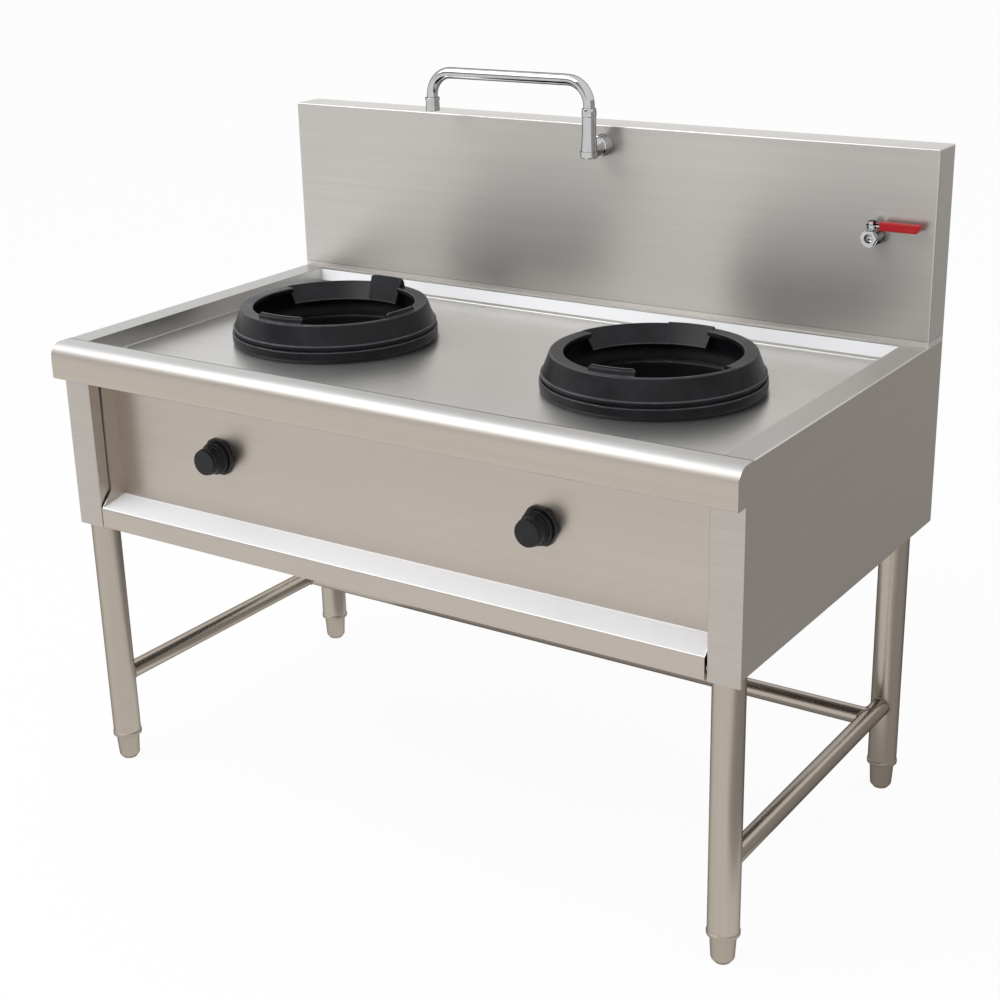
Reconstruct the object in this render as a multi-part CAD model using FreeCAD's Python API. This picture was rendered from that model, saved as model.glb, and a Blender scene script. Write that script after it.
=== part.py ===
import FreeCAD, Part
import math
import os

V = FreeCAD.Vector

# ---- driving dimensions, millimetres -------------------------------------
# Z = 0 is the floor, X = 0 the middle, Y = 0 halfway from the rounded front edge to the back.

# body
body_width = 1300.0
body_depth = 725.0            # front stiles to back edge
worktop_height = 805.0
front_skirt_bottom = 472.0
side_skirt_bottom = 485.0
sheet = 1.5                   # stainless sheet
bend = 1.5                    # inside bend radius

# worktop
side_rim = 45.0
front_rim = 22.0
rear_rim = 8.0               # in front of the splashback
well_depth = 30.0
nose_reach = 25.0             # rounded edge in front of the stiles
nose_radius = 25.0
nose_height = 61.0
nose_lip = 18.0
stiffener_width = 40.0
stiffener_depth = 25.0
stiffener_flange = 15.0

# front and sides
stile_width = 55.0
stile_return = 27.0
stile_step_run = 6.0          # side sheet left below the step
panel_gap = 3.0               # tray end to stile
panel_recess = 55.0
ledge_drop = 296.0            # front edge of the ledge below the worktop
ledge_rise = 11.0             # it slopes up towards the panel
tray_notch_rise = 28.0        # sloped part of the tray's end plates
tray_top_flange = 20.0
rail_return = 18.0
side_top_flange = 25.0
side_bottom_return = 18.0
rear_return = 20.0
rear_bottom_return = 10.0
back_recess = 3.0             # back covers sit this far inside the edges
cover_gap = 0.5

# splashback
splash_height = 320.0
splash_depth = 62.0
splash_hem = 14.0

# legs
leg_radius = 25.0
leg_wall = 1.5
leg_side_inset = 32.0
front_leg_inset = 28.0
rear_leg_inset = 78.5
socket_plate = 5.0
socket_rise = 4.0             # plate underside above the side skirt's edge
socket_half = 29.0
spigot_length = 50.0
plug_gap = 0.1
stretcher_radius = 16.0
stretcher_wall = 1.5
stretcher_z = 166.0
cross_stretcher_inset = 150.0  # from the back edge
weld_gap = 0.2

# feet
foot_height = 56.0
foot_collar_radius = 26.2
foot_collar_height = 8.0
foot_top_radius = 21.0
foot_low_radius = 18.5
foot_flat_radius = 13.0
foot_round_height = 7.0
stud_radius = 6.0
stud_length = 48.0
insert_height = 22.0
running_gap = 0.05            # radial, for shafts and threads

# wok rings, heights above the worktop floor
burner_end_distance = 330.0   # ring axis to the end of the body
burner_y = -10.0
ring_base_radius = 181.0
ring_foot_radius = 178.0
ring_band_height = 20.0
ring_groove_radius = 175.5
ring_groove_top = 24.0
ring_bead_radius = 179.0
ring_bead_top = 30.0
ring_cone_radius = 176.0
ring_top_radius = 164.0
ring_height = 62.0
ring_annulus = 22.0
ring_wall = 9.0
ring_top_thickness = 8.0
pad_inner_radius = 137.0
pad_drop = 28.0
pad_crest = 3.5
pad_thickness = 9.0
pad_corner = 7.0              # rounding of the ends of a raised pad
# start angle, end angle and rise above the flat top, seen from above
left_ring_pads = [(76, 102, 15.0), (102, 160, 1.0),
                  (-104, -71, 13.0), (-71, -17, 1.0), (-17, 7, 9.0)]
right_ring_pads = [(81, 110, 3.0), (110, 164, 1.0),
                   (-99, -71, 13.0), (-71, -12, 1.0)]

# burners
burner_hole_radius = 150.0
chamber_wall = 2.0
chamber_flange = 30.0
chamber_depth = 110.0
chest_radius = 56.0
chest_half_height = 26.0
burner_wall = 5.0
neck_radius = 26.0
neck_gap = 3.0
head_radius = 80.0
head_height = 24.0
head_rise = 24.0              # head underside above the chamber floor
port_radius = 2.5
port_rows = [(60.0, 24), (38.0, 12)]   # row radius, number of ports
mixer_radius = 20.0
mixer_bell_radius = 27.0
mixer_bell_length = 18.0
bearer_width = 60.0
bearer_depth = 30.0
bearer_sheet = 2.0

# gas train
knob_drop = 175.0             # below the worktop
valve_offset = -32.0          # valve axis to burner axis
valve_radius = 17.0
valve_length = 62.0
valve_neck_radius = 12.5
valve_neck_inset = 1.5        # neck ends behind the nut's front
valve_leg_radius = 10.0
stem_radius = 4.0
stem_flat = 2.4               # flat of the D end, from the axis
stem_inside = 30.0
gas_bore_radius = 6.0
injector_hex = 17.0
injector_hex_length = 10.0
injector_radius = 6.0
injector_tip_radius = 3.0
injector_length = 20.0
injector_bore_radius = 1.2
mixer_air_gap = 4.0           # bell mouth ahead of the injector tip
gas_pipe_radius = 13.5
gas_pipe_wall = 3.0
gas_pipe_drop = 80.0          # below the knobs
gas_pipe_setback = 41.5       # behind the recessed panel
gas_pipe_overhang = 70.0
gas_inlet_end_inset = 180.0   # gas inlet to the right end
gas_inlet_inset = 45.0        # from the back edge
inlet_rise = 15.0             # gas and water inlets above the side skirt's edge
elbow_extra = 3.0
thread_length = 20.0          # at the gas and water inlets
thread_groove = 3.0
thread_groove_depth = 0.9

# knobs
nut_hex = 60.0
nut_round_radius = 32.5       # rounds the corners of the nut
nut_chamfer = 2.0
nut_thickness = 7.5
nut_shoulder_radius = 26.0
nut_shoulder = 4.0
hole_gap = 0.5
knob_gap = 0.3
knob_steps = [(27.5, 6.0), (25.0, 4.5), (23.0, 14.0), (21.7, 5.5)]   # radius, length
knob_edge = 1.5
knob_socket = 24.0

# tap
tap_x = 38.0
tap_drop = 35.0               # below the splashback's top
tap_reach = 45.0              # splash face to the swivel axis
tap_flange_radius = 19.0
tap_flange_length = 21.0
tap_flange_groove = 1.5
tap_flange_ribs = 3
tap_tail_radius = 10.5
tap_tail_inside = 16.0
tap_arm_radius = 12.0
tap_cone_radius = 17.0
tap_base_radius = 15.5
tap_base_drop = 16.0          # foot of the tap body below its arm
tap_base_height = 12.0
tap_base_groove = 1.2
tap_sleeve_radius = 12.2
tap_sleeve_rise = 55.0        # above the arm
tap_bore_radius = 7.0
swivel_nut_radius = 12.8
swivel_nut_height = 14.0
spout_radius = 10.0
spout_wall = 1.5
spout_engagement = 30.0
spout_rise = 60.0             # top run above the tap body
spout_reach = 330.0
spout_bend = 42.0
outlet_drop = 69.0            # end of the outlet below the top run
outlet_radius = 12.8
outlet_height = 24.0
outlet_socket = 5.0
locknut_hex = 32.0
locknut_thickness = 8.0

# lever valve
lever_valve_inset = 101.0     # from the right end
lever_valve_drop = 145.0      # below the splashback's top
lever_stem_reach = 17.0       # splash face to the stem axis
lever_valve_reach = 31.0
lever_body_radius = 14.5
lever_body_half = 10.5
lever_end_hex = 24.0
lever_bore_radius = 7.5
ball_radius = 11.0
ball_gap = 0.3
tower_radius = 8.0
tower_height = 18.5
lever_stem_radius = 4.5
lever_stem_height = 27.0
lever_strip = 2.5
lever_gap = 0.3               # lever above its tower
lever_hub_radius = 9.0
lever_strip_width = 9.0
lever_length = 80.0
lever_nut_hex = 12.0
lever_nut_height = 5.0
sleeve_start = 14.0
sleeve_end_skin = 3.0
sleeve_width = 14.0
sleeve_height = 14.0

# water pipe
water_pipe_radius = 10.5
water_pipe_wall = 2.0
water_branch_drop = 45.0      # below the lever valve
pass_gap = 3.0                # holes that a pipe goes through

# back screws
screw_head_radius = 4.2
screw_head_height = 2.4
screw_radius = 2.0
screw_length = 9.0
screw_hole_gap = 0.15
screws_per_side = 3
screw_end_inset = 30.0

# ---- worked-out places ----------------------------------------------------
half_width = body_width / 2
nose_y = -(body_depth + nose_reach) / 2
front_y = nose_y + nose_reach
rear_y = front_y + body_depth
top_under = worktop_height - sheet
floor_z = worktop_height - well_depth
floor_under = floor_z - sheet
well_x = half_width - side_rim
well_front_y = front_y + front_rim
splash_face_y = rear_y - splash_depth
splash_top = worktop_height + splash_height
well_rear_y = splash_face_y - rear_rim
seam_y = well_front_y - sheet
nose_bottom = worktop_height - nose_height
side_inner_x = half_width - sheet
back_face_y = rear_y - back_recess
back_inner_y = back_face_y - sheet
panel_y = front_y + panel_recess
ledge_z = worktop_height - ledge_drop
panel_back_y = panel_y + sheet
tray_x = half_width - stile_width - panel_gap
socket_z = side_skirt_bottom + socket_rise
socket_top = socket_z + socket_plate
leg_x = half_width - leg_side_inset
front_leg_y = front_y + front_leg_inset
rear_leg_y = rear_y - rear_leg_inset
cross_y = rear_y - cross_stretcher_inset
burner_x = half_width - burner_end_distance
chamber_floor = floor_under - chamber_depth
knob_z = worktop_height - knob_drop
bearer_top = knob_z - chest_half_height
head_z = chamber_floor + head_rise
head_top = head_z + head_height
valve_rear_y = panel_back_y + valve_length
injector_tip_y = valve_rear_y + injector_hex_length + injector_length
mixer_front_y = injector_tip_y - mixer_air_gap
nut_front_y = panel_y - nut_thickness - nut_shoulder
neck_front_y = nut_front_y + valve_neck_inset
knob_back_y = nut_front_y - knob_gap
knob_length = sum(length for radius, length in knob_steps)
knob_front_y = knob_back_y - knob_length
gas_pipe_y = panel_back_y + gas_pipe_setback
gas_run_x = half_width - gas_inlet_end_inset
pipe_y = (splash_face_y + sheet + back_inner_y - sheet) / 2
tap_z = splash_top - tap_drop
tap_base_z = tap_z - tap_base_drop
tap_sleeve_top = tap_z + tap_sleeve_rise
spout_top = tap_sleeve_top + spout_rise
outlet_end_z = spout_top - outlet_drop
tap_axis_y = splash_face_y - tap_reach
tail_end_y = splash_face_y + sheet + tap_tail_inside
outlet_x = tap_x - spout_reach
lever_valve_x = half_width - lever_valve_inset
lever_valve_z = splash_top - lever_valve_drop
lever_stem_y = splash_face_y - lever_stem_reach
lever_front_y = splash_face_y - lever_valve_reach
lever_z = lever_valve_z + tower_height
water_branch_z = lever_valve_z - water_branch_drop
gas_inlet_y = rear_y - gas_inlet_inset
gas_pipe_z = knob_z - gas_pipe_drop
gas_inlet_z = water_inlet_z = side_skirt_bottom + inlet_rise


# ---- shape helpers ---------------------------------------------------------
def box(x_range, y_range, z_range):
    low = V(x_range[0], y_range[0], z_range[0])
    high = V(x_range[1], y_range[1], z_range[1])
    size = high - low
    return Part.makeBox(size.x, size.y, size.z, low)


def rod(radius, start, end):
    run = V(*end) - V(*start)
    return Part.makeCylinder(radius, run.Length, V(*start), run)


def pipe(radius, wall, start, end):
    return rod(radius, start, end).cut(rod(radius - wall, start, end))


def hex_bar(across_flats, start, end):
    # prism between two points along Y or Z, with two corners on the X axis
    run = V(*end) - V(*start)
    corner = across_flats / math.sqrt(3)
    other = V(0, 0, 1) if abs(run.y) > abs(run.z) else V(0, 1, 0)
    points = []
    for index in range(7):
        angle = math.radians(60 * index)
        points.append(V(*start) + V(1, 0, 0) * corner * math.cos(angle) + other * corner * math.sin(angle))
    return Part.Face(Part.makePolygon(points)).extrude(run)


def corner_arc(before, corner, after, radius):
    # tangent points and middle of the arc that rounds one corner
    to_before = (before - corner).normalize()
    to_after = (after - corner).normalize()
    half_angle = to_before.getAngle(to_after) / 2
    back = radius / math.tan(half_angle)
    bisector = (to_before + to_after).normalize()
    centre = corner + bisector * (radius / math.sin(half_angle))
    return corner + to_before * back, centre - bisector * radius, corner + to_after * back


def outline(corners, place):
    # closed face through corners (a, b, radius), put in space by place(a, b)
    points = [V(a, b, 0) for a, b, radius in corners]
    stops = []
    for index, (a, b, radius) in enumerate(corners):
        if radius > 0:
            after = points[(index + 1) % len(points)]
            stops.append(corner_arc(points[index - 1], points[index], after, radius))
        else:
            stops.append((points[index],))
    edges = []
    for index, stop in enumerate(stops):
        here = [place(p.x, p.y) for p in stop]
        start = place(stops[index - 1][-1].x, stops[index - 1][-1].y)
        if (here[0] - start).Length > 1e-6:
            edges.append(Part.makeLine(start, here[0]))
        if len(here) == 3:
            edges.append(Part.Arc(*here).toShape())
    return Part.Face(Part.Wire(edges))


def folded(path, thickness):
    # outline of a bent sheet: path (a, b, inside radius) is one face, the sheet lies to its left
    points = [V(a, b, 0) for a, b, radius in path]
    ways = [(points[i + 1] - points[i]).normalize() for i in range(len(points) - 1)]
    lefts = [V(-way.y, way.x, 0) for way in ways]
    near, far = [], []
    for index, (a, b, radius) in enumerate(path):
        if index in (0, len(path) - 1):
            left = lefts[0] if index == 0 else lefts[-1]
            shift = left * thickness
            near_radius = far_radius = 0
        else:
            left = (lefts[index - 1] + lefts[index]).normalize()
            shift = left * (thickness / left.dot(lefts[index]))
            turns_left = ways[index - 1].cross(ways[index]).z > 0
            near_radius = radius + thickness if turns_left else radius
            far_radius = radius if turns_left else radius + thickness
        near.append((a, b, near_radius))
        far.append((a + shift.x, b + shift.y, far_radius))
    return near + far[::-1]


def in_yz(x):
    return lambda a, b: V(x, a, b)


def in_xz(y):
    return lambda a, b: V(a, y, b)


def in_xy(z):
    return lambda a, b: V(a, b, z)


def turned(corners, x, y, z=0.0, start=0.0, sweep=360.0):
    # solid of revolution about a vertical axis from (radius, height) corners
    face = outline(corners, lambda a, b: V(x + a, y, z + b))
    axis = V(0, 0, 1)
    if start:
        face.rotate(V(x, y, 0), axis, start)
    return face.revolve(V(x, y, 0), axis, sweep)


def turned_forward(corners, x, y, z):
    # solid of revolution about a line along -Y from (radius, distance forward) corners
    face = outline(corners, lambda a, b: V(x + a, y - b, z))
    return face.revolve(V(x, y, z), V(0, 1, 0), 360)


def mirrored(shape):
    return shape.mirror(V(0, 0, 0), V(1, 0, 0))


def both_sides(shape):
    return {"left": mirrored(shape), "right": shape}


def cut_all(shape, tools):
    for tool in tools:
        shape = shape.cut(tool)
    return shape


def joined(shapes):
    return shapes[0].fuse(shapes[1:]).removeSplitter()


# ---- worktop and body sheets ------------------------------------------------
def make_worktop_pan():
    plate = box((-half_width, half_width), (seam_y, rear_y), (top_under, worktop_height))
    trough = box((-well_x - sheet, well_x + sheet), (seam_y, well_rear_y + sheet), (floor_under, worktop_height))
    trough = trough.makeFillet(bend + sheet, edges_at(trough, floor_under))
    well = box((-well_x, well_x), (well_front_y, well_rear_y), (floor_z, worktop_height + sheet))
    well = well.makeFillet(bend, edges_at(well, floor_z))
    pan = plate.fuse(trough).cut(well)
    for x in (-burner_x, burner_x):
        pan = pan.cut(rod(burner_hole_radius, (x, burner_y, floor_under - sheet), (x, burner_y, worktop_height)))
    riser = (lever_valve_x, pipe_y)
    passage = rod(water_pipe_radius + pass_gap, (*riser, top_under - sheet), (*riser, worktop_height + sheet))
    return pan.cut(passage).removeSplitter()


def edges_at(shape, level):
    # horizontal edges that lie at one height
    return [e for e in shape.Edges if abs(e.BoundBox.ZMax - level) < 1e-6]


def nose_outline():
    return [(seam_y, worktop_height, 0), (nose_y, worktop_height, nose_radius - sheet),
            (nose_y, nose_bottom, bend), (front_y, nose_bottom, bend), (front_y, nose_bottom + nose_lip, 0)]


def make_front_nose():
    face = outline(folded(nose_outline(), sheet), in_yz(-side_inner_x))
    return face.extrude(V(2 * side_inner_x, 0, 0))


def make_nose_cap():
    corners = [(seam_y, worktop_height, 0), (nose_y, worktop_height, nose_radius),
               (nose_y, nose_bottom, bend + sheet), (front_y, nose_bottom, 0),
               (front_y, top_under, 0), (seam_y, top_under, 0)]
    return outline(corners, in_yz(side_inner_x)).extrude(V(sheet, 0, 0))


def make_side_panel():
    # side sheet, front stile and the stile's return, bent from one blank
    stile_x = half_width - stile_width
    path = [(stile_x, front_y + stile_return, 0), (stile_x, front_y, bend),
            (half_width, front_y, bend), (half_width, rear_y, 0)]
    blank = outline(folded(path, sheet), in_xy(front_skirt_bottom))
    panel = blank.extrude(V(0, 0, top_under - front_skirt_bottom))
    behind_bend = front_y + sheet + bend
    step = box((side_inner_x - bend, half_width + 1), (front_y + stile_step_run, rear_y + 1),
               (front_skirt_bottom - 1, side_skirt_bottom))
    return_x = (stile_x - 1, stile_x + sheet + bend)
    return_y = (behind_bend, front_y + stile_return + 1)
    over_socket = box(return_x, return_y, (front_skirt_bottom - 1, socket_top))
    under_floor = box(return_x, return_y, (floor_under, worktop_height))
    panel = cut_all(panel, [step, over_socket, under_floor])
    shelf = box((half_width - side_top_flange, side_inner_x), (front_y + sheet, back_inner_y - sheet),
                (top_under - sheet, top_under))
    skirt_ends = (front_leg_y + socket_half, rear_leg_y - socket_half)
    turn_in = box((half_width - side_bottom_return, side_inner_x), skirt_ends,
                  (side_skirt_bottom, side_skirt_bottom + sheet))
    back_flange = box((half_width - rear_return, side_inner_x), (back_inner_y - sheet, back_inner_y),
                      (side_skirt_bottom, top_under))
    panel = joined([panel, shelf, turn_in, back_flange])
    return cut_all(panel, [screw_hole(x, z) for x, z in back_screw_places("body") if x > 0])


def make_control_panel():
    # recessed panel, bright ledge and lower rail in one bent tray with welded end plates
    path = [(panel_y + tray_top_flange, floor_under, 0), (panel_y, floor_under, bend),
            (panel_y, ledge_z + ledge_rise, bend), (front_y, ledge_z, bend),
            (front_y, front_skirt_bottom, bend), (front_y + rail_return, front_skirt_bottom, 0)]
    tray = outline(folded(path, sheet), in_yz(-tray_x)).extrude(V(2 * tray_x, 0, 0))
    notch_y = front_y + stile_return
    end_corners = [(panel_back_y, floor_under - sheet, 0), (notch_y, floor_under - sheet, 0),
                   (notch_y, ledge_z + tray_notch_rise, 0), (front_y + sheet, ledge_z, 0),
                   (front_y + sheet, front_skirt_bottom + sheet, 0),
                   (front_y + rail_return, front_skirt_bottom + sheet, 0), (panel_back_y, ledge_z + ledge_rise - sheet, 0)]
    end_plate = outline(end_corners, in_yz(tray_x - sheet)).extrude(V(sheet, 0, 0))
    tray = joined([tray, end_plate, mirrored(end_plate)])
    for x in valve_xs().values():
        tray = tray.cut(rod(valve_neck_radius + hole_gap, (x, panel_y - 1, knob_z), (x, panel_back_y + 1, knob_z)))
    return tray


def make_rear_panel():
    across = side_inner_x - cover_gap
    panel = box((-across, across), (back_inner_y, back_face_y), (side_skirt_bottom, top_under))
    inner = half_width - rear_return - cover_gap
    turn_in = box((-inner, inner), (back_inner_y - rear_bottom_return, back_inner_y),
                  (side_skirt_bottom, side_skirt_bottom + sheet))
    panel = joined([panel, turn_in])
    return cut_all(panel, [screw_hole(x, z) for x, z in back_screw_places("body")])


def splash_block(inset, radius):
    # box of the splashback, set in from the front, top and ends, with rounded front, top and end edges
    block = box((inset - half_width, half_width - inset), (splash_face_y + inset, rear_y),
                (worktop_height, splash_top - inset))
    front = splash_face_y + inset
    keep = []
    for edge in block.Edges:
        bounds = edge.BoundBox
        on_front = abs(bounds.YMax - front) < 1e-6
        on_top = abs(bounds.ZMin - (splash_top - inset)) < 1e-6
        on_back = abs(bounds.YMin - rear_y) < 1e-6
        upright = bounds.ZLength > 1
        if (on_front and upright) or (on_top and not on_back):
            keep.append(edge)
    return block.makeFillet(radius, keep)


def make_splash_skin():
    hollow = splash_block(sheet, bend)
    hollow = hollow.fuse(box((sheet - half_width, half_width - sheet), (splash_face_y + sheet, rear_y + sheet),
                             (worktop_height - sheet, splash_top - sheet - 2 * bend)))
    skin = splash_block(0, bend + sheet).cut(hollow)
    behind = box((sheet - half_width, half_width - sheet), (rear_y - 2 * sheet, rear_y + sheet),
                 (worktop_height, splash_top - sheet))
    skin = skin.cut(behind)
    hem = box((-side_inner_x, side_inner_x), (splash_face_y + sheet, splash_face_y + splash_hem),
              (worktop_height, worktop_height + sheet))
    flange_y = (back_inner_y - sheet, back_inner_y)
    end_flange = box((half_width - rear_return, side_inner_x), flange_y, (worktop_height, splash_top - sheet))
    top_flange = box((-side_inner_x, side_inner_x), flange_y, (splash_top - rear_return, splash_top - sheet))
    skin = joined([skin, hem, end_flange, mirrored(end_flange), top_flange])
    holes = [rod(tap_tail_radius + hole_gap, (x, splash_face_y - 1, z), (x, splash_face_y + sheet + 1, z))
             for x, z in ((tap_x, tap_z), (lever_valve_x, lever_valve_z))]
    holes += [screw_hole(x, z) for x, z in back_screw_places("splash")]
    return cut_all(skin, holes)


def make_splash_back():
    across = side_inner_x - cover_gap
    cover = box((-across, across), (back_inner_y, back_face_y),
                (worktop_height, splash_top - sheet - cover_gap))
    return cut_all(cover, [screw_hole(x, z) for x, z in back_screw_places("splash")])


def back_screw_places(part):
    low, high = {"body": (side_skirt_bottom, top_under), "splash": (worktop_height, splash_top)}[part]
    run = high - low - 2 * screw_end_inset
    places = []
    for index in range(screws_per_side):
        z = low + screw_end_inset + run * index / (screws_per_side - 1)
        places += [(-screw_x(), z), (screw_x(), z)]
    return places


def screw_x():
    return half_width - (rear_return + sheet) / 2


def screw_hole(x, z):
    radius = screw_radius + screw_hole_gap
    return rod(radius, (x, back_inner_y - 2 * sheet, z), (x, back_face_y + 1, z))


def make_back_screws():
    screws = []
    for x, z in back_screw_places("body") + back_screw_places("splash"):
        corners = [(0, screw_head_height, 0), (screw_head_radius, screw_head_height, screw_head_height * 0.6),
                   (screw_head_radius, 0, 0), (screw_radius, 0, 0), (screw_radius, -screw_length, 0),
                   (0, -screw_length, 0)]
        face = outline(corners, lambda a, b, x=x, z=z: V(x + a, back_face_y + b, z))
        screws.append(face.revolve(V(x, back_face_y, z), V(0, 1, 0), 360))
    return Part.makeCompound(screws)


def make_pan_stiffener():
    half = stiffener_width / 2
    low = floor_under - stiffener_depth
    path = [(-half - stiffener_flange, floor_under - sheet, 0), (-half, floor_under - sheet, bend),
            (-half, low, bend), (half, low, bend), (half, floor_under - sheet, bend),
            (half + stiffener_flange, floor_under - sheet, 0)]
    start_y = panel_back_y + tray_top_flange + stiffener_flange
    face = outline(folded(path, sheet), in_xz(start_y))
    return face.extrude(V(0, well_rear_y - start_y - stiffener_flange, 0))


def make_burner_bearer():
    half = bearer_width / 2
    low = bearer_top - bearer_depth
    path = [(burner_y - half, low, 0), (burner_y - half, bearer_top, bend),
            (burner_y + half, bearer_top, bend), (burner_y + half, low, 0)]
    corners = folded([(a, b, r) for a, b, r in reversed(path)], bearer_sheet)
    return outline(corners, in_yz(-side_inner_x)).extrude(V(2 * side_inner_x, 0, 0))


# ---- legs --------------------------------------------------------------------
def leg_places():
    return {"front_left": (-leg_x, front_leg_y), "front_right": (leg_x, front_leg_y),
            "rear_left": (-leg_x, rear_leg_y), "rear_right": (leg_x, rear_leg_y)}


def make_leg(x, y):
    return pipe(leg_radius, leg_wall, (x, y, foot_height), (x, y, socket_z))


def make_leg_socket(x, y):
    # plate welded in the corner, with a spigot down into the leg
    side = 1 if x > 0 else -1
    across = sorted([side * (half_width - stile_width - panel_gap / 2), side * side_inner_x])
    front = front_y + sheet + bend if y < 0 else y - socket_half
    plate = box(across, (front, y + socket_half), (socket_z, socket_top))
    spigot = rod(leg_radius - leg_wall - plug_gap, (x, y, socket_z - spigot_length), (x, y, socket_z))
    return plate.fuse(spigot)


def make_foot(x, y):
    shoulder_z = foot_height - foot_collar_height
    corners = [(0, 0, 0), (foot_flat_radius, 0, 0), (foot_low_radius, foot_round_height, 6.0),
               (foot_top_radius, shoulder_z, 0), (foot_collar_radius, shoulder_z, 2.0),
               (foot_collar_radius, foot_height, 2.0), (stud_radius, foot_height, 0),
               (stud_radius, foot_height + stud_length, 0), (0, foot_height + stud_length, 0)]
    return turned(corners, x, y)


def make_foot_inserts():
    inserts = []
    for x, y in leg_places().values():
        plug = rod(leg_radius - leg_wall - plug_gap, (x, y, foot_height), (x, y, foot_height + insert_height))
        bore = rod(stud_radius + running_gap, (x, y, foot_height), (x, y, foot_height + insert_height))
        inserts.append(plug.cut(bore))
    return Part.makeCompound(inserts)


def make_side_stretcher():
    start, end = (leg_x, front_leg_y, stretcher_z), (leg_x, rear_leg_y, stretcher_z)
    stretcher = pipe(stretcher_radius, stretcher_wall, start, end)
    for y in (front_leg_y, rear_leg_y):
        stretcher = stretcher.cut(rod(leg_radius + weld_gap, (leg_x, y, 0), (leg_x, y, socket_z)))
    return stretcher


def make_cross_stretcher():
    start, end = (-leg_x, cross_y, stretcher_z), (leg_x, cross_y, stretcher_z)
    stretcher = pipe(stretcher_radius, stretcher_wall, start, end)
    for x in (-leg_x, leg_x):
        reach = 2 * stretcher_radius
        side_pipe = rod(stretcher_radius + weld_gap, (x, cross_y - reach, stretcher_z), (x, cross_y + reach, stretcher_z))
        stretcher = stretcher.cut(side_pipe)
    return stretcher


# ---- wok rings and burners -----------------------------------------------------
def ring_body(x):
    # cast wall with a flat annulus on top, open underneath
    under = ring_height - ring_top_thickness
    hole = ring_top_radius - ring_annulus
    inner_foot = ring_foot_radius - ring_wall
    inner_top = ring_top_radius - ring_wall
    corners = [(inner_foot, 0, 0), (ring_foot_radius, 0, 0), (ring_base_radius, 6.0, 3.0),
               (ring_base_radius, ring_band_height, 2.5), (ring_groove_radius, ring_band_height, 0),
               (ring_groove_radius, ring_groove_top, 0), (ring_bead_radius, ring_groove_top, 1.5),
               (ring_bead_radius, ring_bead_top, 2.5), (ring_cone_radius, ring_bead_top, 1.0),
               (ring_top_radius, ring_height, 3.0), (hole, ring_height, 2.5), (hole, under, 0),
               (inner_top, under, 4.0)]
    return turned(corners, x, burner_y, floor_z)


def pad_face(rise):
    # radius outside the crest, height of the crest and of the lower edge
    lean = (ring_cone_radius - ring_top_radius) / (ring_height - ring_bead_top)
    return ring_top_radius - lean * rise, ring_height + rise, ring_height - pad_drop


def pad_relief(x, start, end, rise):
    # the flat top is left out over the sloping face of a pad
    outer, crest, low = pad_face(rise)
    inner = pad_inner_radius - pad_thickness
    above = crest + pad_thickness
    corners = [(pad_inner_radius, low, 0), (outer - pad_crest, crest, 0), (outer - pad_crest, above, 0),
               (inner, above, 0), (inner, low, 0)]
    return turned(corners, x, burner_y, floor_z, start, end - start)


def ring_pad(x, start, end, rise):
    # sector that carries the wok: crest outside, sloping face inside
    outer, crest, low = pad_face(rise)
    root = ring_top_radius - ring_wall / 2
    corners = [(root, ring_height - ring_top_thickness, 0), (ring_top_radius - 1.0, ring_height - 3.0, 0),
               (outer, crest, 1.2), (outer - pad_crest, crest, 1.2), (pad_inner_radius, low, 1.5),
               (pad_inner_radius + pad_thickness * 0.6, low - pad_thickness * 0.6, 0)]
    pad = turned(corners, x, burner_y, floor_z, start, end - start)
    if rise < pad_corner:
        return pad
    return pad.common(rounded_slab(x, start, end, outer, crest))


def rounded_slab(x, start, end, radius, top):
    # radial slab with two rounded top corners, as wide as the sector's chord
    half = radius * math.sin(math.radians(end - start) / 2)
    corners = [(-half, floor_z, 0), (half, floor_z, 0), (half, floor_z + top, pad_corner),
               (-half, floor_z + top, pad_corner)]
    slab = outline(corners, lambda a, b: V(x, burner_y - a, b)).extrude(V(2 * ring_base_radius, 0, 0))
    slab.rotate(V(x, burner_y, 0), V(0, 0, 1), (start + end) / 2)
    return slab


def make_wok_ring(x, pads):
    reliefs = [pad_relief(x, *pad) for pad in pads]
    pieces = [ring_body(x).cut(reliefs)]
    for start, end, rise in pads:
        pieces.append(ring_pad(x, start, end, rise))
    return joined(pieces)


def make_burner_chamber(x):
    path = [(burner_hole_radius + chamber_flange, floor_under, 0), (burner_hole_radius, floor_under, bend),
            (burner_hole_radius, chamber_floor, 4 * bend), (neck_radius + neck_gap, chamber_floor, 0)]
    return turned(folded(path, chamber_wall), x, burner_y)


def burner_core(inset, x, tube_x):
    # chest, neck, head and mixing tube, as outer skin (inset 0) or as inner space
    centre = (x, burner_y)
    chest = rod(chest_radius - inset, (*centre, bearer_top + inset), (*centre, knob_z + chest_half_height - inset))
    neck = rod(neck_radius - inset, (*centre, knob_z), (*centre, head_z + inset))
    head = rod(head_radius - inset, (*centre, head_z + inset), (*centre, head_top - inset))
    tube = rod(mixer_radius - inset, (tube_x, mixer_front_y, knob_z), (tube_x, burner_y, knob_z))
    bell_end = mixer_front_y + mixer_bell_length
    bell = rod(mixer_bell_radius - inset, (tube_x, mixer_front_y, knob_z), (tube_x, bell_end - inset, knob_z))
    return chest.fuse([neck, head, tube, bell])


def make_burner(x, tube_x):
    casting = burner_core(0, x, tube_x).cut(burner_core(burner_wall, x, tube_x))
    ports = []
    for row_radius, count in port_rows:
        for index in range(count):
            angle = 2 * math.pi * index / count
            place = (x + row_radius * math.cos(angle), burner_y + row_radius * math.sin(angle))
            ports.append(rod(port_radius, (*place, head_top - 2 * burner_wall), (*place, head_top + 1)))
    return casting.cut(ports).removeSplitter()


def valve_xs():
    return {"left": valve_offset - burner_x, "right": valve_offset + burner_x}


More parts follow.
